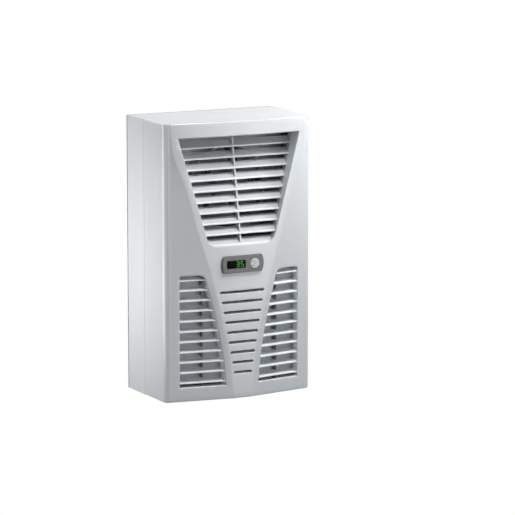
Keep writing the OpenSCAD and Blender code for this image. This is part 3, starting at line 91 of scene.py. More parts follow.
softbox("high_softbox", (0.401, -1.203, 2.207), (0.9, 0.9), 50)
softbox("right_softbox", (0.5, -0.35, 0.45), (0.2, 0.2), 3.0)
softbox("rear_strip", (-0.635, 1.646, 1.673), (0.45, 1.5), 14)
softbox("right_strip", (1.212, -2.287, 0.0), (0.45, 1.5), 6.6)
softbox("front_strip", (0.562, -2.536, 0.0), (0.45, 1.5), 4.9)
softbox("low_softbox", (0.55, -0.9, 0.0), (0.35, 0.35), 0.53)
softbox("left_strip", (-2.34, -0.952, 0.218), (0.45, 1.5), 3.8)
softbox("near_left_strip", (-1.908, -1.701, 0.218), (0.45, 1.5), 2.5)
softbox("left_softbox", (-0.7, 0.1, 0.2), (0.35, 0.35), 1.2)
softbox("low_left_softbox", (-0.45, -0.05, -0.12), (0.25, 0.25), 0.6)
softbox("high_left_softbox", (-0.45, -0.05, 0.12), (0.25, 0.25), 0.25)
softbox("rear_left_softbox", (-0.5, 0.12, 0.0), (0.3, 0.3), 0.6)

floor_half, floor_z = 12, -1.3
floor_mesh = bmesh.new()
bmesh.ops.create_grid(floor_mesh, x_segments=1, y_segments=1, size=floor_half)
bmesh.ops.translate(floor_mesh, vec=(0, 0, floor_z), verts=floor_mesh.verts)
floor_data = bpy.data.meshes.new("pale_floor")
floor_mesh.to_mesh(floor_data)
floor_mesh.free()
pale_floor = bpy.data.objects.new("pale_floor", floor_data)
bpy.context.scene.collection.objects.link(pale_floor)
floor_paint = bpy.data.materials.new("pale_floor")
floor_paint.use_nodes = True
ground, links = floor_paint.node_tree.nodes, floor_paint.node_tree.links
ground["Principled BSDF"].inputs["Base Color"].default_value = (0.82, 0.82, 0.82, 1)
ground["Principled BSDF"].inputs["Roughness"].default_value = 0.7
glow = ground.new("ShaderNodeEmission")
glow.inputs["Strength"].default_value = 1
path = ground.new("ShaderNodeLightPath")
blend = ground.new("ShaderNodeMixShader")
links.new(path.outputs["Is Camera Ray"], blend.inputs[0])
links.new(ground["Principled BSDF"].outputs[0], blend.inputs[1])
links.new(glow.outputs[0], blend.inputs[2])
links.new(blend.outputs[0], ground["Material Output"].inputs["Surface"])
floor_data.materials.append(floor_paint)

# Rear shell: stepped back plate, four walls and a lip, folded and welded from sheet steel and
# powder coated light grey. The coat eases its folds and shows a fine orange peel.


def shader_group(name, inputs, outputs):
    """An empty group of shader nodes with its ways in and out."""
    group = bpy.data.node_groups.new(name, "ShaderNodeTree")
    for title, kind, value in inputs:
        socket = group.interface.new_socket(name=title, in_out="INPUT", socket_type=kind)
        socket.default_value = value
    for title, kind in outputs:
        group.interface.new_socket(name=title, in_out="OUTPUT", socket_type=kind)
    given = group.nodes.new("NodeGroupInput").outputs
    made = group.nodes.new("NodeGroupOutput").inputs
    return group, given, made


def feed(tree, socket, value):
    """A socket takes another node's output, or a plain number or colour."""
    if isinstance(value, bpy.types.NodeSocket):
        tree.links.new(value, socket)
    else:
        socket.default_value = value


def texture(group, kind, scale, stretch=(1, 1, 1), **settings):
    """A noise or cell texture on the piece's own coordinates."""
    place = group.nodes.new("ShaderNodeTexCoord")
    mapped = group.nodes.new("ShaderNodeMapping")
    mapped.inputs["Scale"].default_value = stretch
    made = group.nodes.new(kind)
    group.links.new(place.outputs["Object"], mapped.inputs["Vector"])
    group.links.new(mapped.outputs[0], made.inputs["Vector"])
    feed(group, made.inputs["Scale"], scale)
    for title, value in settings.items():
        made.inputs[title].default_value = value
    return made


def noise(group, scale, detail, stretch=(1, 1, 1)):
    """The value of a noise texture."""
    return texture(group, "ShaderNodeTexNoise", scale, stretch, Detail=detail).outputs["Fac"]


def spread(group, source, low, high, to_low=0.0, to_high=1.0):
    """A source stretched from one range to another."""
    ranged = group.nodes.new("ShaderNodeMapRange")
    for title, value in (("Value", source), ("From Min", low), ("From Max", high),
                         ("To Min", to_low), ("To Max", to_high)):
        feed(group, ranged.inputs[title], value)
    return ranged.outputs[0]


def maths(group, operation, first, second):
    """One calculation with two values."""
    step = group.nodes.new("ShaderNodeMath")
    step.operation = operation
    feed(group, step.inputs[0], first)
    feed(group, step.inputs[1], second)
    return step.outputs[0]


def mixed(group, share, first, second, how="MIX"):
    """Two colours mixed by a share, through the mix node's sockets for colours."""
    share_socket, first_socket, second_socket, colour_result = 0, 6, 7, 2
    mix = group.nodes.new("ShaderNodeMix")
    mix.data_type, mix.blend_type = "RGBA", how
    for k, value in ((share_socket, share), (first_socket, first), (second_socket, second)):
        feed(group, mix.inputs[k], value)
    return mix.outputs[colour_result]


COLOUR, NUMBER = "NodeSocketColor", "NodeSocketFloat"


def surface(name, pattern):
    """A base finish, whose pattern turns a scale into tone, gloss and height from 0 to 1."""
    group, given, made = shader_group(
        name, [("Colour", COLOUR, (0.5, 0.5, 0.5, 1)), ("Tone Spread", NUMBER, 0.05),
               ("Scale", NUMBER, 1500), ("Roughness", NUMBER, 0.45),
               ("Gloss Spread", NUMBER, 0.08)],
        [("Colour", COLOUR), ("Roughness", NUMBER), ("Height", NUMBER)])
    tone, gloss, height = pattern(group, given["Scale"])
    shift = maths(group, "MULTIPLY", spread(group, tone, 0, 1, -1, 1), given["Tone Spread"])
    feed(group, made["Colour"], mixed(group, 1.0, given["Colour"],
                                      spread(group, shift, -1, 1, 0, 2), "MULTIPLY"))
    uneven = maths(group, "MULTIPLY", spread(group, gloss, 0, 1, -1, 1), given["Gloss Spread"])
    feed(group, made["Roughness"], maths(group, "ADD", given["Roughness"], uneven))
    feed(group, made["Height"], height)
    return group


def moulded_pattern(group, scale):
    """Fine specks over wide clouds, as on moulded and coated faces."""
    cloud_share, speck_share = 0.6, 0.4
    speck = noise(group, scale, detail=2)
    cloud = spread(group, noise(group, scale=12, detail=4), low=0.3, high=0.7)
    tone = maths(group, "ADD", maths(group, "MULTIPLY", cloud, cloud_share),
                 maths(group, "MULTIPLY", speck, speck_share))
    return tone, noise(group, scale=45, detail=4), speck


moulded = surface("moulded_grain", moulded_pattern)

# Use: dust that settles on faces which look up, and edges rubbed to another tone. On the hood
# # the lightened edges are a painted highlight along its rims.
wear_and_sheen, given, made = shader_group(
    "dust_rub_and_sheen", [("Colour", COLOUR, (0.5, 0.5, 0.5, 1)),
                     ("Dust Colour", COLOUR, (0.46, 0.43, 0.38, 1)), ("Dust", NUMBER, 0.1),
                     ("Rub Colour", COLOUR, (0.8, 0.8, 0.8, 1)), ("Rub", NUMBER, 0.2)],
    [("Colour", COLOUR)])
face = wear_and_sheen.nodes.new("ShaderNodeNewGeometry").outputs
split = wear_and_sheen.nodes.new("ShaderNodeSeparateXYZ")
feed(wear_and_sheen, split.inputs[0], face["Normal"])
lying = spread(wear_and_sheen, split.outputs["Z"], low=0.35, high=1.0)
dusty = maths(wear_and_sheen, "MULTIPLY", lying,
              spread(wear_and_sheen, noise(wear_and_sheen, scale=35, detail=5), low=0.35, high=0.7))
rub_and_sheen = maths(wear_and_sheen, "MULTIPLY", spread(wear_and_sheen, face["Pointiness"], low=0.53, high=0.6),
               spread(wear_and_sheen, noise(wear_and_sheen, scale=220, detail=4), low=0.42, high=0.62))
tone = mixed(wear_and_sheen, maths(wear_and_sheen, "MULTIPLY", rub_and_sheen, given["Rub"]), given["Colour"],
             given["Rub Colour"])
feed(wear_and_sheen, made["Colour"], mixed(wear_and_sheen, maths(wear_and_sheen, "MULTIPLY", dusty, given["Dust"]), tone,
                                 given["Dust Colour"]))


def finish(name, colour, roughness, metallic=0.0, base=moulded, scale=1500, tone=0.05, gloss=0.06,
           bump=0.15, depth=4e-5, dust=0.1, rub=0.2, shine=0.5):
    """A material: a base finish with dust and rubbed edges, and its relief. The rubbed edges are
    lighter, and on the hood they are a painted highlight.
    """
    rub_and_sheen_share, rub_and_sheen_white = 0.6, 0.35
    paint = bpy.data.materials.new(name)
    paint.use_nodes = True
    tree = paint.node_tree
    shader = tree.nodes["Principled BSDF"]
    shader.inputs["Metallic"].default_value = metallic
    shader.inputs["Specular IOR Level"].default_value = shine
    body, used = tree.nodes.new("ShaderNodeGroup"), tree.nodes.new("ShaderNodeGroup")
    body.node_tree, used.node_tree = base, wear_and_sheen
    relief = tree.nodes.new("ShaderNodeBump")
    rub_and_sheen_colour = tuple(rub_and_sheen_share * c + rub_and_sheen_white for c in colour)
    for socket, value in (
            (body.inputs["Colour"], (*colour, 1)), (body.inputs["Tone Spread"], tone),
            (body.inputs["Scale"], scale), (body.inputs["Roughness"], roughness),
            (body.inputs["Gloss Spread"], gloss), (used.inputs["Dust"], dust),
            (used.inputs["Rub Colour"], (*rub_and_sheen_colour, 1)), (used.inputs["Rub"], rub),
            (used.inputs["Colour"], body.outputs["Colour"]),
            (shader.inputs["Base Color"], used.outputs["Colour"]),
            (shader.inputs["Roughness"], body.outputs["Roughness"]),
            (relief.inputs["Strength"], bump), (relief.inputs["Distance"], depth),
            (relief.inputs["Height"], body.outputs["Height"]),
            (shader.inputs["Normal"], relief.outputs["Normal"])):
        feed(tree, socket, value)
    return paint


def dress(paint, *names):
    """Solids that keep their own mesh get a material."""
    for name in names:
        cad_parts[name].data.materials[0] = paint


sharp_edge = 35


def placed(work, name, paint, body="casing", sharp=sharp_edge):
    """A finished piece from a mesh, smooth but for its sharp edges."""
    for part in work.faces:
        part.smooth = True
    for edge in work.edges:
        edge.smooth = edge.calc_face_angle(0) < radians(sharp)
    data = bpy.data.meshes.new(name)
    work.to_mesh(data)
    work.free()
    if "custom_normal" in data.attributes:
        data.attributes.remove(data.attributes["custom_normal"])
    data.materials.clear()
    data.materials.append(paint)
    piece = bpy.data.objects.new(name, data)
    bpy.context.scene.collection.objects.link(piece)
    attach(piece, body)
    return piece


def eased(node, name, width, paint, body="casing", segments=2):
    """A solid's form with eased edges, which stands in for it."""
    same_place, flat = 1e-6, 0.5
    work = bmesh.new()
    work.from_mesh(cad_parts[node].data)
    bmesh.ops.remove_doubles(work, verts=work.verts, dist=same_place)
    bmesh.ops.dissolve_limit(work, angle_limit=radians(flat), verts=work.verts, edges=work.edges)
    piece = placed(work, name, paint, body)
    easing = piece.modifiers.new("eased_edges", "BEVEL")
    easing.width, easing.segments = width, segments
    easing.limit_method, easing.angle_limit = "ANGLE", radians(sharp_edge)
    easing.harden_normals = True
    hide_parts(node)
    return piece


fold_ease = 0.0007
shell_coat = finish("shell_powder_coat", (0.545, 0.567, 0.587), 0.32, scale=700, tone=0.02,
                    gloss=0.02, bump=0.12, depth=6e-5, dust=0.05, rub=0.25, shine=0.7)
eased("rear_shell", "folded_rear_shell", fold_ease, shell_coat)

# Sealing strip: black closed-cell foam rubber with a cut skin, glued round the stepped border.
# It is pressed against the cabinet's wall.


def pored_pattern(group, scale):
    """Small closed cells, as in foam."""
    cells = texture(group, "ShaderNodeTexVoronoi", scale).outputs["Distance"]
    return spread(group, cells, low=0.1, high=0.6), noise(group, scale=90, detail=3), cells


pored = surface("closed_pores", pored_pattern)
foam_rubber = finish("foam_rubber", (0.035, 0.035, 0.037), 0.85, base=pored, scale=1400,
                     tone=0.25, bump=0.5, depth=1.5e-4, dust=0.25, rub=0.0)
dress(foam_rubber, "rear_gasket")

# Mounting nuts: steel rivet nuts with a round collar, turned and bright zinc plated.
# They are pulled tight in the back plate and take the bolts from inside the cabinet.


def rolled_pattern(group, scale):
    """Long streaks, as rolling, drawing and turning leave them."""
    streaks = noise(group, scale, detail=3, stretch=(1, 1, 0.05))
    return streaks, streaks, streaks


rolled = surface("rolled_streaks", rolled_pattern)
zinc_plating = finish("bright_zinc_plating", (0.62, 0.62, 0.60), 0.3, 1.0, base=rolled, scale=900,
                      tone=0.12, gloss=0.08, bump=0.1, depth=1e-5, dust=0.1, rub=0.3)
dress(zinc_plating, "mounting_nuts")

# Drain nozzle: an off-white moulded nozzle with a flange, snapped through the floor from inside.
# The condensate leaves through its bore into a hose.
white_plastic = finish("white_moulding", (0.66, 0.67, 0.66), 0.42, scale=1200, tone=0.04, dust=0.15)
dress(white_plastic, "drain_nozzle")

# Cold circuit: a black bell-mouth ring in the back plate, and behind it a black blower wheel on an
# external-rotor motor that hangs from the partition plate.
black_plastic = finish("black_moulding", (0.03, 0.03, 0.033), 0.42, scale=1100, tone=0.2, bump=0.25,
                       dust=0.22, rub=0.12)
dress(black_plastic, "inlet_ring", "blower_wheel")
motor_paint = finish("motor_paint", (0.12, 0.125, 0.13), 0.5, scale=600, tone=0.08, bump=0.2,
                     depth=6e-5, dust=0.2)
dress(motor_paint, "blower_motor")

# Evaporator: copper tubes expanded into thin aluminium plates with collars, between two end plates
# of zinc-coated sheet. A white moulded tray below guides the condensate.
fin_sheet = finish("fin_aluminium", (0.42, 0.43, 0.45), 0.5, 0.8, base=rolled, scale=500, tone=0.1,
                   gloss=0.08, bump=0.15, depth=2e-5, dust=0.15, rub=0.1)
copper = finish("dulled_copper", (0.50, 0.26, 0.18), 0.4, 1.0, scale=420, tone=0.22, gloss=0.12,
                bump=0.12, depth=2e-5, dust=0.08, rub=0.2)


def spangled_pattern(group, scale):
    """The crystals of hot-dip zinc."""
    cells = texture(group, "ShaderNodeTexVoronoi", scale)
    shade = group.nodes.new("ShaderNodeSeparateColor")
    feed(group, shade.inputs[0], cells.outputs["Color"])
    return shade.outputs["Red"], shade.outputs["Green"], noise(group, scale=250, detail=3)


spangled = surface("zinc_spangle", spangled_pattern)
zinc_sheet = finish("zinc_coated_sheet", (0.44, 0.455, 0.47), 0.5, 0.3, base=spangled, scale=160,
                    tone=0.1, gloss=0.07, bump=0.1, depth=2e-5, dust=0.12, rub=0.2)
dress(fin_sheet, "evaporator_fins")
dress(copper, "evaporator_tubes")
dress(zinc_sheet, "evaporator_end_plates")
dress(white_plastic, "condensate_tray")

# Partition: a tray-shaped plate of zinc-coated sheet, screwed to the shell's lip with six screws.
# A panel of closed-cell foam keeps the cold side from the warm one.
dress(zinc_sheet, "partition_plate")
dress(zinc_plating, "partition_screws")
insulation_foam = finish("insulation_foam", (0.10, 0.105, 0.11), 0.9, base=pored, scale=900,
                         tone=0.2, bump=0.5, depth=2e-4, dust=0.2, rub=0.0)
dress(insulation_foam, "insulation_panel")

# Condenser and fan: a finned coil, a pressed shroud, and a dark grey moulded fan on an
# external-rotor motor, held by a bracket of painted flat steel.
dress(fin_sheet, "condenser_fins")
dress(copper, "condenser_tubes")
dress(zinc_sheet, "condenser_end_plates", "fan_shroud")
dress(motor_paint, "fan_bracket", "fan_motor")
dark_moulding = finish("dark_fan_moulding", (0.16, 0.17, 0.18), 0.55, scale=1100, tone=0.1,
                       dust=0.2, rub=0.1)
dress(dark_moulding, "fan_rotor")

# Compressor: a black enamelled welded can on a base plate with rubber grommets, bolted to a shelf
# of zinc-coated sheet. A moulded cover shuts its terminals.
enamel = finish("black_enamel", (0.018, 0.018, 0.02), 0.24, scale=350, tone=0.15, gloss=0.06,
                bump=0.2, depth=8e-5, dust=0.25, rub=0.15)
dress(enamel, "compressor", "compressor_base")
black_rubber = finish("black_rubber", (0.03, 0.03, 0.031), 0.7, scale=800, tone=0.15, dust=0.25,
                      rub=0.05)
dress(black_rubber, "compressor_grommets")
dress(zinc_plating, "compressor_bolts")
dress(zinc_sheet, "compressor_shelf")
dress(black_plastic, "terminal_cover")

# Refrigerant line: drawn and brazed copper pipes, a spun copper drier, a wound capillary, a brass
# service valve and a switch in a drawn steel can.
dress(copper, "discharge_pipe", "liquid_pipe", "filter_drier", "capillary_tube", "suction_pipe")
brass = finish("turned_brass", (0.72, 0.53, 0.24), 0.26, 1.0, base=rolled, scale=1500, tone=0.1,
               gloss=0.06, bump=0.1, depth=1e-5, dust=0.08)
dress(brass, "service_valve")
drawn_steel = finish("drawn_steel", (0.56, 0.57, 0.58), 0.33, 1.0, base=rolled, scale=700,
                     tone=0.12, gloss=0.08, bump=0.1, depth=1e-5, dust=0.1)
dress(drawn_steel, "pressure_switch")

# Electronics: a folded box of zinc-coated sheet with a coated lid, a green board with blue parts,
# a capacitor in a steel can, and a black socket in the back wall with six brass pins.
dress(zinc_sheet, "electronics_box")
dress(shell_coat, "electronics_lid")
solder_mask = finish("solder_mask", (0.03, 0.19, 0.075), 0.3, scale=300, tone=0.15, dust=0.12)
dress(solder_mask, "circuit_board")
blue_mouldings = finish("part_mouldings", (0.06, 0.10, 0.2), 0.4, scale=500, tone=0.3, dust=0.15)
dress(blue_mouldings, "board_parts")
dress(drawn_steel, "run_capacitor")
dress(black_plastic, "connector_housing")
dress(brass, "connector_pins")

# Hood: a light grey plastic moulding with a raised V panel, three windows, nine slots and an
# opening for the controller. Its skin is a flat sheet, cut out, bent to the form and given rounded
# rims. It hangs on two tabs and is held by two screws below. Sizes here are in millimetres.
metre = 1000
hood_half, hood_height = 160, 550
seam_y, corner_y = -78.8, -161
corner_x, corner_r, edge_r, wall = 149, 11, 3, 3
bow_below, bow_loss, bow_power = 20, 6, 2.5
crease, crease_share = 1.1, 0.35
window_lip, slot_lip, opening_lip = 1.2, 0.8, 0.4
panel_to_window = 13.5
upper_sill, upper_head, upper_head_half, upper_head_r, upper_sill_r = 305, 521, 133, 2, 24
lower_sill, lower_head, lower_outer, lower_inner_r, lower_outer_r = 28, 251, 130, 16, 5
lower_bend, lower_tangent, lower_steps = 19.2, 16, 24
slot_r, slot_count, slot_steps = 2.7, 9, 8
slot_highest, slot_pitch, slot_half, slot_taper = 212.5, 20.1, 48.4, 3.6
opening_half, opening_rise, opening_middle = 35.8, 14.3, 268
panel_shares = [(0, 0.12), (0.06, 0.142), (0.18, 0.188), (0.33, 0.3), (0.465, 0.425),
                (0.6, 0.572), (0.707, 0.673), (0.784, 0.752), (0.842, 0.834), (0.89, 0.888),
                (0.94, 0.917), (1, 0.928)]


def panel_half(z):
    """Half the width of the raised panel at a height, a smooth curve through its shares."""
    share = min(max(z / hood_height, 0), 1)
    i = max(k for k in range(len(panel_shares) - 1) if share >= panel_shares[k][0])

    def slope(k):
        before = panel_shares[max(k - 1, 0)]
        after = panel_shares[min(k + 1, len(panel_shares) - 1)]
        return (after[1] - before[1]) / (after[0] - before[0])

    (s0, w0), (s1, w1) = panel_shares[i], panel_shares[i + 1]
    h = s1 - s0
    t = (share - s0) / h
    return hood_half * ((2 * t**3 - 3 * t**2 + 1) * w0 + (t**3 - 2 * t**2 + t) * h * slope(i)
                        + (3 * t**2 - 2 * t**3) * w1 + (t**3 - t**2) * h * slope(i + 1))


def front_y(x, z):
    """Depth of the hood's front face at a place."""
    v, bow = panel_half(z), bow_below - bow_loss * z / hood_height
    reach = min(abs(x), v)
    out = bow * (1 - (reach / hood_half) ** bow_power)
    if abs(x) > v:
        out *= max(corner_x - abs(x), 0) / (corner_x - v)
    return corner_y - corner_r - out


def crease_half(z):
    """Half the width of the panel's rounded edge at a height."""
    return min(crease, crease_share * (corner_x - panel_half(z)))


def sheet_column(x, z):
    """Where a place on the front lies across the flat sheet, whose columns are 0 to 1 on the
    panel, 1 to 2 on its rounded edge, 2 to 3 on the facet, 3 to 4 on the corner, 4 to 5 beside."""
    v, e = panel_half(z), crease_half(z)
    if abs(x) <= v - e:
        return x / (v - e)
    return copysign(2 + (abs(x) - v - e) / (corner_x - v - e), x)


def bent(column, z, inset):
    """The flat sheet's point in its place on the hood, drawn in by an inset."""
    a, v, e = abs(column), panel_half(z), crease_half(z)
    if a <= 1:
        x = a * (v - e)
        y = front_y(x, z) + inset
    elif a <= 2:
        t = a - 1
        x = v - e + 2 * e * t
        y = inset + ((1 - t)**2 * front_y(v - e, z) + 2 * t * (1 - t) * front_y(v, z)
                     + t**2 * front_y(v + e, z))
    elif a <= 3:
        x = v + e + (a - 2) * (corner_x - v - e)
        y = front_y(x, z) + inset
    elif a <= 4:
        turn = radians(90 * (a - 3))
        x = corner_x + (corner_r - inset) * sin(turn)
        y = corner_y - (corner_r - inset) * cos(turn)
    else:
        x = hood_half - inset
        y = corner_y + (a - 4) * (seam_y - corner_y)
    return Vector((copysign(x, column), y, z))


def rounded_corner(before, corner, after, r, steps):
    """Points of an arc that rounds a corner of an outline."""
    u, w = (before - corner).normalized(), (after - corner).normalized()
    half = u.angle(w) / 2
    middle = corner + (u + w).normalized() * r / sin(half)
    start = corner + u * r / tan(half) - middle
    end = corner + w * r / tan(half) - middle
    turn = atan2(start.x * end.y - start.y * end.x, start.dot(end))
    return [middle + Matrix.Rotation(turn * k / steps, 2) @ start for k in range(steps + 1)]


def upper_window(grow):
    """Outline of the upper window, a trapezium whose sides follow the V panel."""
    top, low = upper_head_half, panel_half(upper_sill) - panel_to_window
    lean = (top - low) / (upper_head - upper_sill)
    side = grow * (hypot(1, lean) - lean)
    a = Vector((top + side + lean * grow, upper_head + grow))
    b = Vector((low + side - lean * grow, upper_sill - grow))
    c, d = Vector((-b.x, b.y)), Vector((-a.x, a.y))
    top_r, low_r, top_steps, low_steps = upper_head_r + grow, upper_sill_r + grow, 4, 14
    return (rounded_corner(b, a, d, top_r, top_steps) + rounded_corner(a, d, c, top_r, top_steps)
            + rounded_corner(d, c, b, low_r, low_steps)
            + rounded_corner(c, b, a, low_r, low_steps))


def lower_window(side, grow):
    """Outline of a lower window, whose inner edge follows the V panel up to a round shoulder."""
    sill, head, out = lower_sill - grow, lower_head + grow, lower_outer + grow
    inner_steps, outer_steps = 10, 6

    def inner(z):
        return Vector((panel_half(z) + panel_to_window - grow, z))

    bend = head - lower_bend
    a = inner(bend)
    b = a + (a - inner(bend - lower_tangent)) * (head - bend) / lower_tangent
    c, d = Vector((out, head)), Vector((out, sill))
    points = ([d] + [inner(sill + (bend - sill) * k / lower_steps) for k in range(lower_steps + 1)]
              + rounded_corner(a, b, c, lower_inner_r + grow, inner_steps)
              + rounded_corner(b, c, d, lower_outer_r + grow, outer_steps))
    return [Vector((side * p.x, p.y)) for p in points]


def slot_outline(z, half, grow):
    """Outline of a slot with half-round ends."""
    ends = [Vector((half - slot_r, z)), Vector((slot_r - half, z))]
    return [ends[side] + (slot_r + grow) * Vector((sin(turn), -cos(turn)))
            for side in range(2) for k in range(slot_steps + 1)
            for turn in [pi * (side + k / slot_steps)]]


def controller_opening(grow):
    """Outline of the opening that the controller's case goes through."""
    w, h = opening_half + grow, opening_rise + grow
    return [Vector((x, opening_middle + z)) for x, z in ((w, -h), (w, h), (-w, h), (-w, -h))]


slots = [(slot_highest - slot_pitch * k, slot_half - slot_taper * k) for k in range(slot_count)]
outlines = ([(upper_window(window_lip), window_lip),
             (controller_opening(opening_lip), opening_lip)]
            + [(lower_window(side, window_lip), window_lip) for side in (-1, 1)]
            + [(slot_outline(z, half, slot_lip), slot_lip) for z, half in slots])

skin = bmesh.new()


def draw_loop(work, points):
    """The edges of a closed loop drawn on the flat sheet."""
    verts = [work.verts.new((p[0], p[1], 0)) for p in points]
    return [work.edges.new((a, b)) for a, b in zip(verts, verts[1:] + verts[:1])]


sheet_end, border, rim_step = 5, 0.1, 4
draw_loop(skin, [(-sheet_end, 0), (sheet_end, 0), (sheet_end, hood_height),
                 (-sheet_end, hood_height)])
lip_at = {}
for outline, lip in outlines:
    dense = []
    for a, b in zip(outline, outline[1:] + outline[:1]):
        parts = max(1, round((b - a).length / rim_step))
        dense += [a.lerp(b, k / parts) for k in range(parts)]
    for edge in draw_loop(skin, [(sheet_column(p.x, p.y), p.y) for p in dense]):
        lip_at[edge.verts[0]] = lip
bmesh.ops.triangle_fill(skin, use_beauty=True, use_dissolve=False, edges=skin.edges[:])

# The sheet's columns stand close on the panel's edge and round the corner, its rows at both ends.
half_columns = ([k / 9 for k in range(9)] + [0.985, 1, 1.25, 1.5, 1.75, 2, 2.015]
                + [2 + k / 8 for k in range(1, 8)] + [2.98, 3, 3.06]
                + [3 + k / 9 for k in range(1, 9)] + [4, 4.02, 4.3, 4.65])
columns = sorted({0.0, *half_columns, *[-c for c in half_columns]})
edge_turn, row_count, on_it = 15, 60, 1e-4
roundings = [edge_r * (1 - cos(radians(edge_turn * k))) for k in range(1, 90 // edge_turn + 1)]
rows = (roundings
        + [edge_r + (hood_height - 2 * edge_r) * k / row_count for k in range(1, row_count)]
        + [hood_height - z for z in reversed(roundings)])
for axis, places in ((0, columns), (1, rows)):
    for place in places:
        across = Vector((axis == 0, axis == 1, 0))
        bmesh.ops.bisect_plane(skin, geom=skin.verts[:] + skin.edges[:] + skin.faces[:],
                               dist=1e-5, plane_co=across * place, plane_no=across)


def on_line(edge):
    """Whether an edge lies on a column or row of the sheet."""
    a, b = (v.co for v in edge.verts)
    for axis, places in ((0, columns), (1, rows)):
        if abs(a[axis] - b[axis]) < on_it and min(abs(a[axis] - p) for p in places) < on_it:
            return True
    return False


bmesh.ops.dissolve_edges(skin, use_verts=False, edges=[
    e for e in skin.edges if len(e.link_faces) == 2 and not on_line(e)])


def corners_in_turn(edges):
    """The corners of each closed loop among the edges, in order."""
    left, loops = dict.fromkeys(edges), []
    while left:
        start, here = left.popitem()[0].verts
        loop = [start]
        while here != start:
            loop.append(here)
            edge = next(e for e in here.link_edges if e in left)
            del left[edge]
            here = edge.other_vert(here)
        loops.append(loop)
    return loops


rims = corners_in_turn([e for e in skin.edges if len(e.link_faces) == 1
                        and abs(e.verts[0].co.x) < sheet_end - border
                        and border < e.verts[0].co.y < hood_height - border])
outer = skin.verts[:]
twin = bmesh.ops.duplicate(skin, geom=outer + skin.edges[:] + skin.faces[:])["vert_map"]
inner = [twin[v] for v in outer]
behind = set(inner)
bmesh.ops.delete(skin, context="FACES", geom=[
    f for f in skin.faces if f.verts[0] in behind
    and not wall < f.calc_center_median().y < hood_height - wall])
for v in outer:
    gap = edge_r - min(edge_r, v.co.y, hood_height - v.co.y)
    v.co = bent(v.co.x, v.co.y, edge_r - (edge_r**2 - gap**2)**0.5)
inner = [v for v in inner if v.is_valid]
for v in inner:
    v.co = bent(v.co.x, v.co.y, wall)

for rim in rims:
    lip = next(lip_at[v] for v in rim if v in lip_at)
    places = [v.co.copy() for v in rim]
    around = list(zip(places[-1:] + places[:-1], places, places[1:] + places[:1]))
    turning = copysign(1, sum(a.x * b.z - b.x * a.z for _, a, b in around))
    inward = []
    for a, _, b in around:
        along = Vector((b.x - a.x, b.z - a.z)).normalized()
        inward.append(Vector((-along.y, 0, along.x)) * turning)
    rings = [(lip * sin(radians(turn)), lip * (1 - cos(radians(turn)))) for turn in (30, 60, 90)]
    last = rim
    for shift, back in rings + [(lip, wall), (0, wall)]:
        edges = [next(e for e in a.link_edges if e.other_vert(a) is b)
                 for a, b in zip(last, last[1:] + last[:1])]
        made = bmesh.ops.extrude_edge_only(skin, edges=edges)["geom"]
        fresh = {v for v in made if isinstance(v, bmesh.types.BMVert)}
        last = [next(e.other_vert(v) for e in v.link_edges if e.other_vert(v) in fresh)
                for v in last]
        for v, place, way in zip(last, places, inward):
            spot = place + way * shift
            v.co = (spot.x, front_y(spot.x, spot.z) + back, spot.z)
        if shift == 0:
            for v, corner in zip(last, rim):
                v.co = twin[corner].co

screw_x, screw_y, screw_hole, cap_inset, hole_sides = 110, -86.5, 2.3, 1.2, 24
holes = []
for skin_verts, z in ((outer, 0), (outer, hood_height), (inner, wall), (inner, hood_height - wall)):
    level = {v for v in skin_verts if abs(v.co.z - z) < on_it}
    ends = [v for v in level if abs(v.co.y - seam_y) < on_it]
    edges = [e for e in skin.edges if e.verts[0] in level and e.verts[1] in level]
    edges.append(skin.edges.new(ends))
    cap = bmesh.ops.edgeloop_fill(skin, edges=edges)["faces"]
    bmesh.ops.inset_region(skin, faces=cap, thickness=cap_inset, use_even_offset=True)
    if z > wall:
        continue
    fringe = list(cap[0].edges)
    bmesh.ops.delete(skin, geom=cap, context="FACES_ONLY")
    for side in (-1, 1):
        circle = bmesh.ops.create_circle(skin, segments=hole_sides, radius=screw_hole,
                                         matrix=Matrix.Translation((side * screw_x, screw_y, z)))
        fringe += [e for e in skin.edges if e.verts[0] in circle["verts"]]
        holes.append([e for e in skin.edges if e.verts[0] in circle["verts"]])
    bmesh.ops.triangle_fill(skin, use_beauty=True, use_dissolve=False, edges=fringe)
for below, above in zip(holes[:2], holes[2:]):
    bmesh.ops.bridge_loops(skin, edges=below + above)
seam_weld = 1e-3
bmesh.ops.remove_doubles(skin, verts=skin.verts, dist=seam_weld)
bmesh.ops.triangle_fill(skin, use_beauty=True, use_dissolve=False, edges=[
    e for e in skin.edges if len(e.link_faces) == 1])
bmesh.ops.recalc_face_normals(skin, faces=skin.faces)

guard_d, guard_t, guard_rise, guard_side, guard_sink = 6, 1.6, 2.5, 3, 1
for z, half in slots:
    y, low = front_y(half + guard_side, z) + guard_sink, z - slot_r
    shelf = bmesh.ops.create_cube(
        skin, size=1, matrix=Matrix.Translation((0, y + guard_d / 2, low - guard_t / 2))
        @ Matrix.Diagonal((2 * half + 2 * guard_side, guard_d, guard_t, 1)))
    for v in shelf["verts"]:
        v.co.z += guard_rise * (v.co.y - y) / guard_d
tab_x, tab_y, tab_z, tab_size = 90, -86.5, 540.6, (22, 3, 15.8)
for side in (-1, 1):
    bmesh.ops.create_cube(skin, size=1, matrix=Matrix.Translation((side * tab_x, tab_y, tab_z))
                          @ Matrix.Diagonal((*tab_size, 1)))

bmesh.ops.translate(skin, vec=(0, 0, -hood_height / 2), verts=skin.verts)
bmesh.ops.scale(skin, vec=(1 / metre, 1 / metre, 1 / metre), verts=skin.verts)
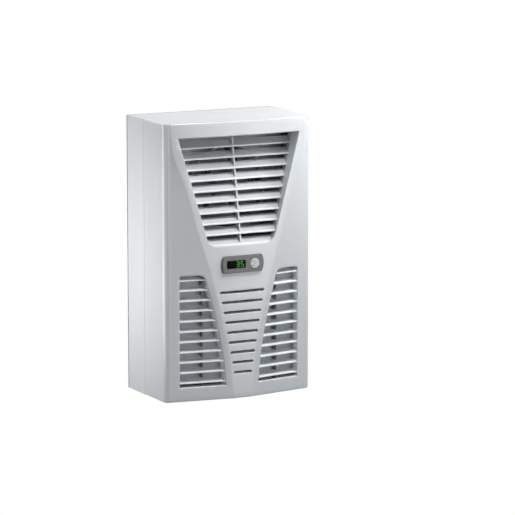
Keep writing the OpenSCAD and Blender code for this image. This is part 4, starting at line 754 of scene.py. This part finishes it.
# A rub share of 0.35 lightens the rims and rounded edges in patches, as a painted highlight.
hood_plastic_and_rim_sheen = finish("structured_grey_plastic_and_rim_sheen", (0.54, 0.563, 0.583), 0.28, scale=1700, tone=0.015,
                      gloss=0.012, bump=0.12, depth=3e-5, dust=0.03, rub=0.35, shine=0.8)
hood = placed(skin, "moulded_hood", hood_plastic_and_rim_sheen, sharp=40)
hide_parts("hood")
dress(zinc_plating, "hood_screws")

# Louvre inserts: three frames moulded in the hood's plastic and clipped in behind its windows. The
# upper blades lean back towards the top, the lower ones lie level with a turned-up rear edge. Their
# colour holds painted light and shade by how far a place lies back: on the upper blades a painted
# highlight on the front edges, painted shade just behind them and painted light towards the back,
# where the blade above shades them; on the lower blades painted light on the tops and painted shade
# on the turned-up rear edges. The gussets get painted light in the upper insert and painted shade
# in the lower ones.
painted_tone_depth, painted_tone_on_gussets, blade_ease = 40, 40, 0.0007
gusset_x, gusset_half, gusset_area = 80.5, 2.2, 0.0002
lean_front, lean_rise = -184.67, 0.1776
riser_turn, riser_back, painted_tone_on_risers, painted_tone_on_blades = 0.85, 12, 24, 5


def upper_set_back(_face, _x, y, z):
    """How far a place on the upper insert lies behind the leaning plane of its front edges."""
    return y - lean_front - lean_rise * (z - upper_sill)


def lower_set_back(face, x, y, z):
    """A deep place for the turned-up rear edges of the lower inserts, which the painted shade
    darkens, and a shallow one elsewhere, which the painted light lightens.
    """
    on_riser = abs(face.normal.y) > riser_turn and y - front_y(x, z) > riser_back
    return painted_tone_on_risers if on_riser else painted_tone_on_blades


def plastic_with_painted_light(name, painted_tones):
    """The inserts' plastic, painted light and shade given as (share of the tone, place) stops."""
    paint = finish(name, (0.64, 0.667, 0.69), 0.3, scale=1700, tone=0.02, gloss=0.015, bump=0.12,
                   depth=3e-5, dust=0.0, rub=0.1, shine=0.7)
    tree = paint.node_tree
    depth = tree.nodes.new("ShaderNodeAttribute")
    depth.attribute_name = "set_back"
    stops = tree.nodes.new("ShaderNodeValToRGB")
    while len(stops.color_ramp.elements) < len(painted_tones):
        stops.color_ramp.elements.new(0.5)
    for stop, (share, place) in zip(stops.color_ramp.elements, painted_tones):
        stop.position, stop.color = place / painted_tone_depth, (share, share, share, 1)
    feed(tree, stops.inputs["Fac"], maths(tree, "DIVIDE", depth.outputs["Fac"], painted_tone_depth))
    base_colour = tree.nodes["Principled BSDF"].inputs["Base Color"]
    feed(tree, base_colour, mixed(tree, 1, base_colour.links[0].from_socket,
                                  stops.outputs["Color"], "MULTIPLY"))
    return paint


def louvre_insert(node, name, paint, set_back):
    """An insert whose face corners carry their places for the painted light and shade."""
    piece = eased(node, name, blade_ease, paint, segments=3)
    mark = piece.data.attributes.new("set_back", "FLOAT", "CORNER")
    for face in piece.data.polygons:
        middle = face.center * metre
        on_gusset = abs(abs(middle.x) - gusset_x) < gusset_half and face.area < gusset_area
        for k in face.loop_indices:
            x, y, z = piece.data.vertices[piece.data.loops[k].vertex_index].co * metre
            mark.data[k].value = (painted_tone_on_gussets if on_gusset
                                  else set_back(face, x, y, z + hood_height / 2))


# Upper stops: a painted highlight on the front edges, painted shade just behind, painted light to
# the back and on the gussets.
upper_plastic_painted_light = plastic_with_painted_light("upper_louvre_plastic_painted_light",
                               [(1.15, 0), (0.72, 1.4), (0.8, 9), (1.15, 16), (1.2, 38)])
louvre_insert("upper_louvres", "upper_louvre_insert", upper_plastic_painted_light, upper_set_back)
# Lower stops: painted light on the blades' tops, painted shade on the turned-up rear edges and on
# the gussets.
lower_plastic_painted_light = plastic_with_painted_light("lower_louvre_plastic_painted_light",
                               [(1.25, 0), (1.25, 10), (0.6, 20), (0.55, 26), (0.14, 38)])
for side in ("left", "right"):
    louvre_insert(f"{side}_louvres", f"{side}_louvre_insert", lower_plastic_painted_light, lower_set_back)

# Controller: a bezel moulded in mid-grey plastic with a stepped rim, held by the black case that
# two spring clips pull against the hood from behind.
bezel_plastic = finish("grey_bezel_plastic", (0.13, 0.135, 0.14), 0.38, scale=1600, tone=0.05,
                       dust=0.08, rub=0.25)
bezel_ease = 0.0005
eased("controller_bezel", "stepped_bezel", bezel_ease, bezel_plastic, segments=3)
dress(black_plastic, "controller_case", "controller_clips")

# Display: a pane moulded in dark tinted plastic and let into the bezel. Behind it, lit green
# segments on the front of the controller's case read 35.
pane_ease = 0.0002
pane = bpy.data.materials.new("tinted_pane")
pane.use_nodes = True
tree = pane.node_tree
shader = tree.nodes["Principled BSDF"]
shader.inputs["Transmission Weight"].default_value = 1
shader.inputs["IOR"].default_value = 1.1
smears = tree.nodes.new("ShaderNodeGroup")
smears.node_tree = moulded
for title, value in (("Colour", (0.1, 0.12, 0.11, 1)), ("Tone Spread", 0.02), ("Scale", 90),
                     ("Roughness", 0.02), ("Gloss Spread", 0.01)):
    smears.inputs[title].default_value = value
feed(tree, shader.inputs["Base Color"], smears.outputs["Colour"])
feed(tree, shader.inputs["Roughness"], smears.outputs["Roughness"])
eased("display_window", "display_pane", pane_ease, pane)
lit = finish("lit_segments", (0.02, 0.3, 0.06), 0.4, scale=2500, dust=0, rub=0)
shader = lit.node_tree.nodes["Principled BSDF"]
shader.inputs["Emission Strength"].default_value = 1.7
glow = lit.node_tree.nodes.new("ShaderNodeGroup")
glow.node_tree = moulded
for title, value in (("Colour", (0.2, 0.66, 0.13, 1)), ("Tone Spread", 0.1), ("Scale", 1800)):
    glow.inputs[title].default_value = value
feed(lit.node_tree, shader.inputs["Emission Color"], glow.outputs["Colour"])
dress(lit, "display_digits")

# Keys: four quarter-round caps moulded in light grey plastic, each on its own switch. A dark arrow
# is printed on each.
arrow_slope, arrow_base, arrow_edge = 1.6, -1.3, 0.85
key_middle_x, key_middle_z, key_to_arrow, key_ease = 0.0254, -0.007, 0.0047, 0.0004
ink = (0.012, 0.012, 0.013, 1)
ink_mask, given, made = shader_group(
    "printed_arrow", [("Across", NUMBER, 0), ("Up", NUMBER, 0), ("Turn", NUMBER, 1),
                      ("Size", NUMBER, 0.0015)], [("Mask", NUMBER)])
own = ink_mask.nodes.new("ShaderNodeTexCoord")
split = ink_mask.nodes.new("ShaderNodeSeparateXYZ")
feed(ink_mask, split.inputs[0], own.outputs["Object"])
aside = ink_mask.nodes.new("ShaderNodeMath")
aside.operation = "ABSOLUTE"
feed(ink_mask, aside.inputs[0], maths(ink_mask, "SUBTRACT", split.outputs["X"], given["Across"]))
rise = maths(ink_mask, "MULTIPLY", maths(ink_mask, "SUBTRACT", split.outputs["Z"], given["Up"]),
             given["Turn"])
slanted = maths(ink_mask, "ADD",
                maths(ink_mask, "MULTIPLY", aside.outputs[0], arrow_slope), rise)
reach = maths(ink_mask, "MAXIMUM", slanted, maths(ink_mask, "MULTIPLY", rise, arrow_base))
share = maths(ink_mask, "DIVIDE", reach, given["Size"])
feed(ink_mask, made["Mask"], spread(ink_mask, share, arrow_edge, 1.0, to_low=1.0, to_high=0.0))
for place, side, turn, size in (("upper_left", -1, 1, 0.0021), ("upper_right", 1, 1, 0.0011),
                                ("lower_left", -1, -1, 0.0021), ("lower_right", 1, -1, 0.0011)):
    key_plastic = finish(f"{place}_key_plastic", (0.60, 0.62, 0.635), 0.36, scale=1800, tone=0.03,
                         dust=0.05, rub=0.15)
    tree = key_plastic.node_tree
    print_on = tree.nodes.new("ShaderNodeGroup")
    print_on.node_tree = ink_mask
    for title, value in (("Across", key_middle_x + key_to_arrow * side),
                         ("Up", key_middle_z + key_to_arrow * turn),
                         ("Turn", turn), ("Size", size)):
        print_on.inputs[title].default_value = value
    base_colour = tree.nodes["Principled BSDF"].inputs["Base Color"]
    feed(tree, base_colour, mixed(tree, print_on.outputs["Mask"],
                                  base_colour.links[0].from_socket, ink))
    eased(f"key_{place}", f"key_cap_{place}", key_ease, key_plastic, f"key_{place}")
